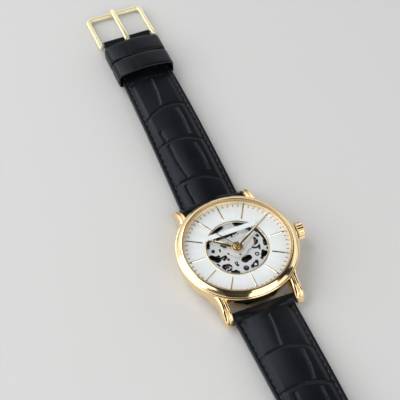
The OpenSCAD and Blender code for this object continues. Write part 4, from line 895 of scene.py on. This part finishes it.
class StrapHalf:
    """Heights of one half of the strap, taken from its solid, and its scale pattern."""

    loop = 1.9  # radius of the leather round a spring bar
    nose = 1.3  # reach of the rounded end past its spring bar
    slot_half = 1.15  # half width of the tongue's slot
    hole_count, hole_pitch, first_hole = 7, 6.5, 31.4  # the first hole is measured from the tip

    def __init__(self, node, end, rows, lines):
        self.end, self.rows, self.lines = end, rows, lines
        solid = node_shape(node)
        self.tree = BVHTree.FromBMesh(solid)
        solid.free()
        hinge = joint_place("strap_12_hinge" if end > 0 else "strap_6_hinge")
        self.bar_y, self.bar_z = abs(hinge.y), hinge.z
        reach = high(node).y if end > 0 else -low(node).y
        self.last = reach - self.bar_y
        self.length = self.last - self.nose if end > 0 else self.last
        self.half_lug = high(node).x
        self.half_end = sizes().strap_end_width / MM / 2
        self.tip_r = self.half_end * 1.24
        self.tip_s = self.length - self.tip_r - 0.1
        self.known = {}

    def half(self, s):
        wide = self.half_lug + (self.half_end - self.half_lug) * max(0.0, s) / self.length
        if self.end < 0 and s > self.tip_s:
            wide = min(wide, math.sqrt(max(0.0, self.tip_r ** 2 - (s - self.tip_s) ** 2)))
        return wide

    def ray(self, x, s, up):
        y = self.end * (self.bar_y + s)
        start = Vector((x, y, -5.0 if up else 20.0))
        hit = self.tree.ray_cast(start, Vector((0, 0, 1.0 if up else -1.0)))[0]
        return None if hit is None else hit.z

    def heights(self, s):
        """Underside, flat edge and padded middle at a distance along the strap."""
        key = round(s, 4)
        if key not in self.known:
            at = min(max(s, -self.loop + 0.004), self.last - 0.004)
            wide = self.half(at)
            side = max(0.05, min(wide - 0.9, wide * 0.8))
            middle = min(2.4, wide * 0.5)
            found = (self.ray(side, at, True), self.ray(side, at, False), self.ray(middle, at, False))
            if None in found:
                found = (self.bar_z, self.bar_z, self.bar_z)
            self.known[key] = found
        return self.known[key]

    def from_edge(self, x, s):
        d = self.half(s) - abs(x)
        if self.end < 0 and s > self.tip_s:
            d = min(d, self.tip_r - math.hypot(x, s - self.tip_s))
        return max(0.0, d)

    def seam(self, x, s):
        """Distance from a point to the nearest seam."""
        near = 99.0
        for at, lean, bow in self.rows:
            near = min(near, abs(s - at - lean * x - bow * (x / 7.0) ** 2))
        for x0, s0, x1, s1 in self.lines:
            if s0 <= s <= s1:
                t = (s - s0) / (s1 - s0)
                near = min(near, abs(x - x0 - (x1 - x0) * t - 0.25 * math.sin(5 * t + x0)))
        return near

    def top(self, x, s):
        z = sizes()
        under, edge, middle = self.heights(s)
        d = self.from_edge(x, s)
        inner = max(0.0, d - z.edge_flat / MM)
        rise = clamp(inner / (z.pad_shoulder / MM))
        swell = math.sin(clamp(inner / (z.pad_crown / MM)) * math.pi / 2)
        height = edge + (middle - edge) * (0.3 * rise * rise * (3 - 2 * rise) + 0.7 * swell)
        padded = clamp((d - 1.9) / 1.2) * clamp(s / 2)
        if padded > 0:
            near = self.seam(x, s)
            height -= padded * z.seam_depth / MM * math.exp(-(near / (z.seam_width / MM)) ** 2)
            height -= padded * 0.10 * math.exp(-near / 1.3)
        channel = math.exp(-((d - z.stitch_inset / MM) / 0.4) ** 2)
        if 1 < s < self.length - 2 or self.end < 0 and s > 1:
            height -= 0.14 * channel
        height -= rounding(d, 0.5)
        return max(height, under + 0.3) if s > 0 else height

    def bottom(self, x, s):
        return self.heights(s)[0] + rounding(self.from_edge(x, s), 0.3)

    def rows_along(self):
        out = [-self.loop * math.cos(math.pi / 2 * k / 9) for k in range(9)]
        end = self.length if self.end > 0 else self.tip_s
        count = int(end / 0.27)
        out += [end * k / count for k in range(count + 1)]
        if self.end > 0:
            out += [self.length + self.nose * math.sin(math.pi / 2 * k / 8) for k in range(1, 9)]
        else:
            out += [self.tip_s + self.tip_r * math.sin(math.pi / 2 * k / 44) for k in range(1, 45)]
        return out

    def columns(self):
        """Shares of the half width, closer together at the edges."""
        d = [0, 0.03, 0.1, 0.2, 0.34, 0.5, 0.7, 0.9, 1.1, 1.3, 1.5, 1.7, 1.9, 2.1, 2.35, 2.6, 2.85, 3.1,
             3.4, 3.7, 4.0, 4.3, 4.6, 4.9]
        half, edge, count = 10.0, 5.2, 34
        inner = half - edge
        middle = [(-inner + 2 * inner * k / count) / half for k in range(count + 1)]
        out = [(-half + v) / half for v in d] + middle + [(half - v) / half for v in d[::-1]]
        if self.end > 0:
            slot = self.slot_half / self.half_end
            for sign in (-1, 1):
                nearest = min(range(len(out)), key=lambda i: abs(out[i] - sign * slot))
                out[nearest] = sign * slot
        return out

    def shape(self):
        bm = bmesh.new()
        rows, columns = self.rows_along(), self.columns()
        bmesh.ops.create_grid(bm, x_segments=len(columns) - 1, y_segments=len(rows) - 1, size=1.0)
        bm.verts.ensure_lookup_table()
        nx, ny = len(columns), len(rows)
        for vert in bm.verts:
            i = round((vert.co.x + 1) / 2 * (nx - 1))
            j = round((vert.co.y + 1) / 2 * (ny - 1))
            vert.co = (columns[i] * self.half(rows[j]), rows[j], 0.0)
        self.open_holes(bm)
        upper = bmesh.ops.extrude_face_region(bm, geom=bm.faces[:], use_keep_orig=True)["geom"]
        raised = set(v for v in upper if isinstance(v, bmesh.types.BMVert))
        for vert in bm.verts:
            x, s = vert.co.x, vert.co.y
            vert.co = (x, self.end * (self.bar_y + s),
                       self.top(x, s) if vert in raised else self.bottom(x, s))
        bmesh.ops.remove_doubles(bm, verts=bm.verts, dist=0.0008)
        bmesh.ops.dissolve_degenerate(bm, dist=0.0005, edges=bm.edges)
        bmesh.ops.recalc_face_normals(bm, faces=bm.faces)
        for face in bm.faces:
            slope = face.normal.z
            s = abs(face.calc_center_median().y) - self.bar_y
            if slope < -0.6 and s > 0.5:
                face.material_index = 1
            elif abs(slope) < 0.35 and 0.2 < s < self.length - (1.2 if self.end > 0 else 0):
                face.material_index = 2
        return bm

    def open_holes(self, bm):
        """Opens the tongue's slot in one half, and the row of holes, 1 mm in radius, in the other."""
        middle = {face: face.calc_center_median() for face in bm.faces}
        if self.end > 0:
            bmesh.ops.delete(bm, geom=[f for f, c in middle.items() if abs(c.x) < self.slot_half
                                       and c.y > self.length - 3.0], context="FACES")
            return
        for i in range(self.hole_count):
            at = Vector((0, self.length - self.first_hole - self.hole_pitch * i, 0))
            gone = [f for f, c in middle.items() if f.is_valid and (c - at).length < 0.95]
            rim = set(v for f in gone for v in f.verts)
            bmesh.ops.delete(bm, geom=gone, context="FACES")
            for vert in rim:
                if vert.is_valid:
                    vert.co = at + (vert.co - at).normalized()

    def stitches(self):
        """One row of stitches down each side, and round the tip."""
        z = sizes()
        pitch, inset = z.stitch_pitch / MM, z.stitch_inset / MM
        first, clear = 3.2, 4.5  # from the spring bar, and from the buckle's spring bar
        bm = bmesh.new()
        places = []
        last = self.length - clear if self.end > 0 else self.tip_s
        s = first
        while s < last:
            for side in (-1, 1):
                places.append((side * (self.half(s) - inset), s, 0.0))
            s += pitch
        if self.end < 0:
            r = self.tip_r - inset
            span = math.acos(min(1.0, (self.half_end - inset) / r))
            count = int(r * (math.pi - 2 * span) / pitch)
            for k in range(count + 1):
                a = span + (math.pi - 2 * span) * k / count
                places.append((r * math.cos(a), self.tip_s + r * math.sin(a), a))
        wide = z.stitch_width / MM
        size = Matrix.Diagonal((wide / 2, z.stitch_length / MM / 2, wide / 2.4, 1.0))
        for x, s, turn in places:
            ahead = self.heights(s + 0.5)[1] - self.heights(s - 0.5)[1]
            place = Matrix.Translation((x, self.end * (self.bar_y + s), self.top(x, s) + 0.05))
            lean = Matrix.Rotation(math.atan(ahead) * self.end, 4, "X")
            bmesh.ops.create_uvsphere(bm, u_segments=8, v_segments=5, radius=1.0,
                                      matrix=place @ Matrix.Rotation(-turn, 4, "Z") @ lean @ size)
        return bm


HALVES = {}
PATTERNS = {"strap_12": (1, ROWS_12, LINES_12), "strap_6": (-1, ROWS_6, LINES_6)}


def strap_half(node):
    if node not in HALVES:
        HALVES[node] = StrapHalf(node, *PATTERNS[node])
    return HALVES[node]


class WATCH_OT_strap(Operator):
    """Builds both padded halves of the strap with their scales and stitches"""
    bl_idname = "watch.strap"
    bl_label = "Strap"

    def execute(self, context):
        for node in PATTERNS:
            half = strap_half(node)
            place_piece(node + "_leather", half.shape(), ["leather", "lining", "edge_paint"], [node],
                        smooth=50)
            place_piece(node + "_stitches", half.stitches(), ["thread"], [], smooth=180,
                        body=BODY_OF[node])
        return {"FINISHED"}


def loop_outline(a, b, corner):
    """Points round a rectangle with round corners, each with the direction that faces outwards."""
    outline = []
    for quarter, (sx, sz, steps) in enumerate(((1, 1, 24), (-1, 1, 5), (-1, -1, 24), (1, -1, 5))):
        for k in range(9):
            t = math.radians(90 * quarter + 90 * k / 8)
            outline.append((sx * (a - corner) + corner * math.cos(t),
                            sz * (b - corner) + corner * math.sin(t), t))
        for k in range(1, steps):
            along = 1 - 2 * k / steps
            x = (a - corner) * along if quarter % 2 == 0 else a
            z = b if quarter % 2 == 0 else (b - corner) * along
            outline.append((sx * x, sz * z, t))
    return outline


def keeper_shape(node):
    """A leather loop with rounded edges, arched a little over the strap."""
    wall = sizes().keeper_wall / MM
    lo, hi = low(node), high(node)
    half = strap_half("strap_12")
    middle = (lo + hi) / 2
    s = middle.y - half.bar_y
    lean = math.atan((half.heights(s + 1)[0] - half.heights(s - 1)[0]) / 2)
    long = 8.0
    a = hi.x - wall / 2
    b = ((hi.z - lo.z) - long * abs(math.sin(lean))) / math.cos(lean) / 2 - wall / 2
    arch, groove_depth, groove_at, groove_width = 1.5, 0.12, -3.2, 0.35
    sections = []
    for x, z, t in loop_outline(a, b, 1.15):
        if z > 0:
            z -= arch * (x / a) ** 2
        ring = []
        for u, v in soft_box_section(long / 2, wall / 2, 5.0, 28):
            if z > 0 and v > 0:
                v -= groove_depth * math.exp(-((x - groove_at) / groove_width) ** 2)
            ring.append((x + v * math.cos(t), u, z + v * math.sin(t)))
        sections.append(ring)
    bm = lofted_shape(sections, closed=True)
    for face in bm.faces:
        if abs(face.calc_center_median().y) > long / 2 - 0.12:
            face.material_index = 1
    return turned_and_moved(bm, lean, "X", middle)


class WATCH_OT_keepers(Operator):
    """Builds the fixed and the free keeper"""
    bl_idname = "watch.keepers"
    bl_label = "Keepers"

    def execute(self, context):
        for node in ("keeper_fixed", "keeper_free"):
            place_piece(node + "_leather", keeper_shape(node), ["keeper_leather", "edge_paint"], [node],
                        smooth=50)
        return {"FINISHED"}


# ---------------------------------------------------------------- buckle

BUCKLE_REACH = 17.0  # from the spring bar to the far side of the frame


def swept_shape(stations, power):
    """A soft rectangular section swept along stations: point, side, upward, width and height."""
    return lofted_shape([[point + side * u + up * v for u, v in soft_box_section(w / 2, h / 2, power, 24)]
                         for point, side, up, w, h in stations])


def in_buckle_frame(bm):
    """Moves a shape made round the origin to the buckle's spring bar, leaning down to the floor."""
    bar, half_thick, clear = joint_place("buckle_hinge"), 0.85, 0.15
    return turned_and_moved(bm, -math.asin((bar.z - half_thick - clear) / BUCKLE_REACH), "X", bar)


class WATCH_OT_buckle(Operator):
    """Builds the buckle's frame and its tongue"""
    bl_idname = "watch.buckle"
    bl_label = "Buckle"

    def execute(self, context):
        s = sizes()
        wide, thick = s.wire_width / MM, s.wire_thickness / MM
        x = high("buckle_frame").x - wide / 2
        reach, back, corner = BUCKLE_REACH - wide / 2, 1.6, 1.9
        across, upward = Vector((1, 0, 0)), Vector((0, 0, 1))
        plan = [Vector((-x, -back + (reach + back) * k / 12, 0)) for k in range(12)]
        plan = [p for p in plan if p.y < reach - corner - 0.3]
        for k in range(9):
            t = math.radians(180 - 90 * k / 8)
            plan.append(Vector((-x + corner + corner * math.cos(t),
                                reach - corner + corner * math.sin(t), 0)))
        plan += [Vector((f * (x - corner), reach, 0)) for f in (-0.6, -0.3, 0.0)]
        plan += [Vector((-p.x, p.y, 0)) for p in plan[-2::-1]]
        wire_path = []
        for i, point in enumerate(plan):
            ahead = (plan[min(i + 1, len(plan) - 1)] - plan[max(i - 1, 0)]).normalized()
            wire_path.append((point, Vector((ahead.y, -ahead.x, 0)), upward, wide, thick))
        # each end is closed by a rounded cap
        cap = ((0.0, 0.25), (0.05, 0.6), (0.2, 0.85), (0.33, 0.97))
        first, final = ([(end[0] + Vector((0, step, 0)), end[1], upward, wide * k, thick * k)
                         for step, k in cap] for end in (wire_path[0], wire_path[-1]))
        wire_path = first + wire_path[1:-1] + final[::-1]
        place_piece("buckle_wire", in_buckle_frame(swept_shape(wire_path, 2.8)), ["buckle_gold"],
                    ["buckle_frame"], smooth=60)

        hook, broad = 1.1, 1.9
        tongue = []
        for k in range(15):
            t = math.radians(-40 - 230 * k / 14)
            out = Vector((0, math.cos(t), math.sin(t)))
            tongue.append((out * hook, across, out, broad, 0.6))
        for y, z, share, h in ((0.8, 1.18, 1, 0.66), (1.8, 1.3, 1, 0.8), (3.0, 1.4, 1, 0.95),
                               (6.0, 1.42, 1, 1.0), (10.0, 1.42, 1, 1.0), (14.0, 1.42, 1, 1.0),
                               (16.0, 1.42, 1, 0.98), (17.0, 1.38, 0.9, 0.85), (17.6, 1.3, 0.7, 0.62),
                               (17.88, 1.24, 0.35, 0.3)):
            tongue.append((Vector((0, y, z)), across, upward, broad * share, h))
        place_piece("buckle_tongue_bent", in_buckle_frame(swept_shape(tongue, 2.4)), ["buckle_gold"],
                    ["buckle_tongue"], smooth=60)
        return {"FINISHED"}


# ---------------------------------------------------------------- stage

def soft_lamp(name, at, aim, span, power):
    """A rectangular softbox aimed at a point."""
    data = bpy.data.lights.new(name, "AREA")
    data.shape = "RECTANGLE"
    data.size, data.size_y = span
    data.energy = power
    lamp = linked(name, data)
    lamp.location = at
    lamp.rotation_euler = (Vector(at) - Vector(aim)).to_track_quat("Z", "Y").to_euler()


def dark_card(name, centre, span, aim):
    """A black card that only polished metal sees."""
    bm = bmesh.new()
    bmesh.ops.create_grid(bm, x_segments=2, y_segments=2, size=0.5)
    bmesh.ops.scale(bm, vec=(span[0], span[1], 1.0), verts=bm.verts)
    turn = (Vector(centre) - Vector(aim)).to_track_quat("Z", "Y").to_matrix()
    bmesh.ops.rotate(bm, verts=bm.verts, cent=(0, 0, 0), matrix=turn)
    bmesh.ops.translate(bm, verts=bm.verts, vec=centre)
    card = object_of(name, bm)
    card.data.materials.append(plain_finish(name + " cloth", (0.01, 0.01, 0.01), 0.9))
    card.visible_camera = card.visible_diffuse = card.visible_shadow = card.visible_transmission = False
    return card


class WATCH_OT_stage(Operator):
    """Sets the floor, the lamps, the surroundings and the camera"""
    bl_idname = "watch.stage"
    bl_label = "Stage"

    def execute(self, context):
        scene = context.scene
        bm = bmesh.new()
        bmesh.ops.create_grid(bm, x_segments=8, y_segments=8, size=1.5)
        bmesh.ops.translate(bm, verts=bm.verts, vec=(0, 0, -0.00003))
        floor = object_of("floor", bm)
        floor.data.materials.append(finish_of("floor"))

        soft_lamp("left_softbox", (-0.74, 0.2, 0.64), (0, 0.02, 0), (1.0, 0.9), 5.6)
        soft_lamp("front_softbox", (0.12, -0.64, 0.76), (0, 0, 0), (1.1, 0.8), 4.6)
        soft_lamp("back_strip", (-0.27, 0.68, 0.75), (0, 0.04, 0), (0.36, 0.8), 3.1)
        dark_card("card_front", (-0.1, -0.25, 0.31), (0.23, 0.5), (-0.008, -0.018, 0.0097))
        dark_card("card_side", (0.28, -0.125, 0.27), (0.1, 0.42), (0.0097, -0.018, 0.0097))

        world = bpy.data.worlds.new("Studio")
        scene.world = world
        world.use_nodes = True
        tree = world.node_tree
        tree.nodes.clear()
        out = add(tree, "ShaderNodeOutputWorld", (600, 0))
        sky = add(tree, "ShaderNodeBackground", (300, 0), {"Strength": 1.0})
        place = add(tree, "ShaderNodeTexCoord", (-500, 0))
        split = add(tree, "ShaderNodeSeparateXYZ", (-300, 0))
        ramp = add(tree, "ShaderNodeValToRGB", (0, 0))
        # bright round the horizon, dim overhead, so that polished metal has both to reflect
        steps = ((0.0, 0.5), (0.1, 1.0), (0.45, 1.3), (0.61, 0.07), (1.0, 0.06))
        while len(ramp.color_ramp.elements) < len(steps):
            ramp.color_ramp.elements.new(0.5)
        for step, (at, level) in zip(ramp.color_ramp.elements, steps):
            step.position = at
            step.color = (level, level, level * 1.01, 1.0)
        wire(tree, (place, "Generated"), (split, 0), (split, "Z"), (ramp, 0), (ramp, 0), (sky, 0),
             (sky, 0), (out, 0))

        azimuth, elevation, roll = (math.radians(v) for v in (-22.363, 54.07, 0.222))
        back = Vector((math.sin(azimuth) * math.cos(elevation), -math.cos(azimuth) * math.cos(elevation),
                       math.sin(elevation)))
        data = bpy.data.cameras.new("camera")
        data.sensor_width = 36.0
        data.lens = 107.8
        data.clip_start = 0.01
        camera = linked("camera", data)
        aim, distance = Vector((-2.045, 28.11, 0.0)), 423.67
        camera.location = (aim + back * distance) * MM
        turn = back.to_track_quat("Z", "Y").to_matrix() @ Matrix.Rotation(roll, 3, "Z")
        camera.rotation_euler = turn.to_euler()
        scene.camera = camera
        scene.view_settings.view_transform = "Standard"
        return {"FINISHED"}


class WATCH_PT_pieces(Panel):
    """Lists the watch's pieces"""
    bl_idname = "WATCH_PT_pieces"
    bl_label = "Skeleton wristwatch"
    bl_space_type = "VIEW_3D"
    bl_region_type = "UI"
    bl_category = "Watch"

    def draw(self, context):
        for step in STEPS:
            self.layout.operator(step.bl_idname)
        for group_name in ("watch_sizes", "watch_colours"):
            values = getattr(context.scene, group_name)
            box = self.layout.box()
            for key in values.__annotations__:
                box.prop(values, key)


STEPS = (WATCH_OT_inner_parts, WATCH_OT_case, WATCH_OT_crown, WATCH_OT_dial, WATCH_OT_hands,
         WATCH_OT_movement, WATCH_OT_strap, WATCH_OT_keepers, WATCH_OT_buckle, WATCH_OT_stage)
CLASSES = (WATCH_PG_sizes, WATCH_PG_colours, *STEPS, WATCH_PT_pieces)


def register():
    for cls in CLASSES:
        bpy.utils.register_class(cls)
    bpy.types.Scene.watch_sizes = PointerProperty(type=WATCH_PG_sizes)
    bpy.types.Scene.watch_colours = PointerProperty(type=WATCH_PG_colours)


def unregister():
    del bpy.types.Scene.watch_colours
    del bpy.types.Scene.watch_sizes
    for cls in reversed(CLASSES):
        bpy.utils.unregister_class(cls)


def main():
    register()
    for step in STEPS:
        family, name = step.bl_idname.split(".")
        getattr(getattr(bpy.ops, family), name)()


if __name__ == "__main__":
    main()
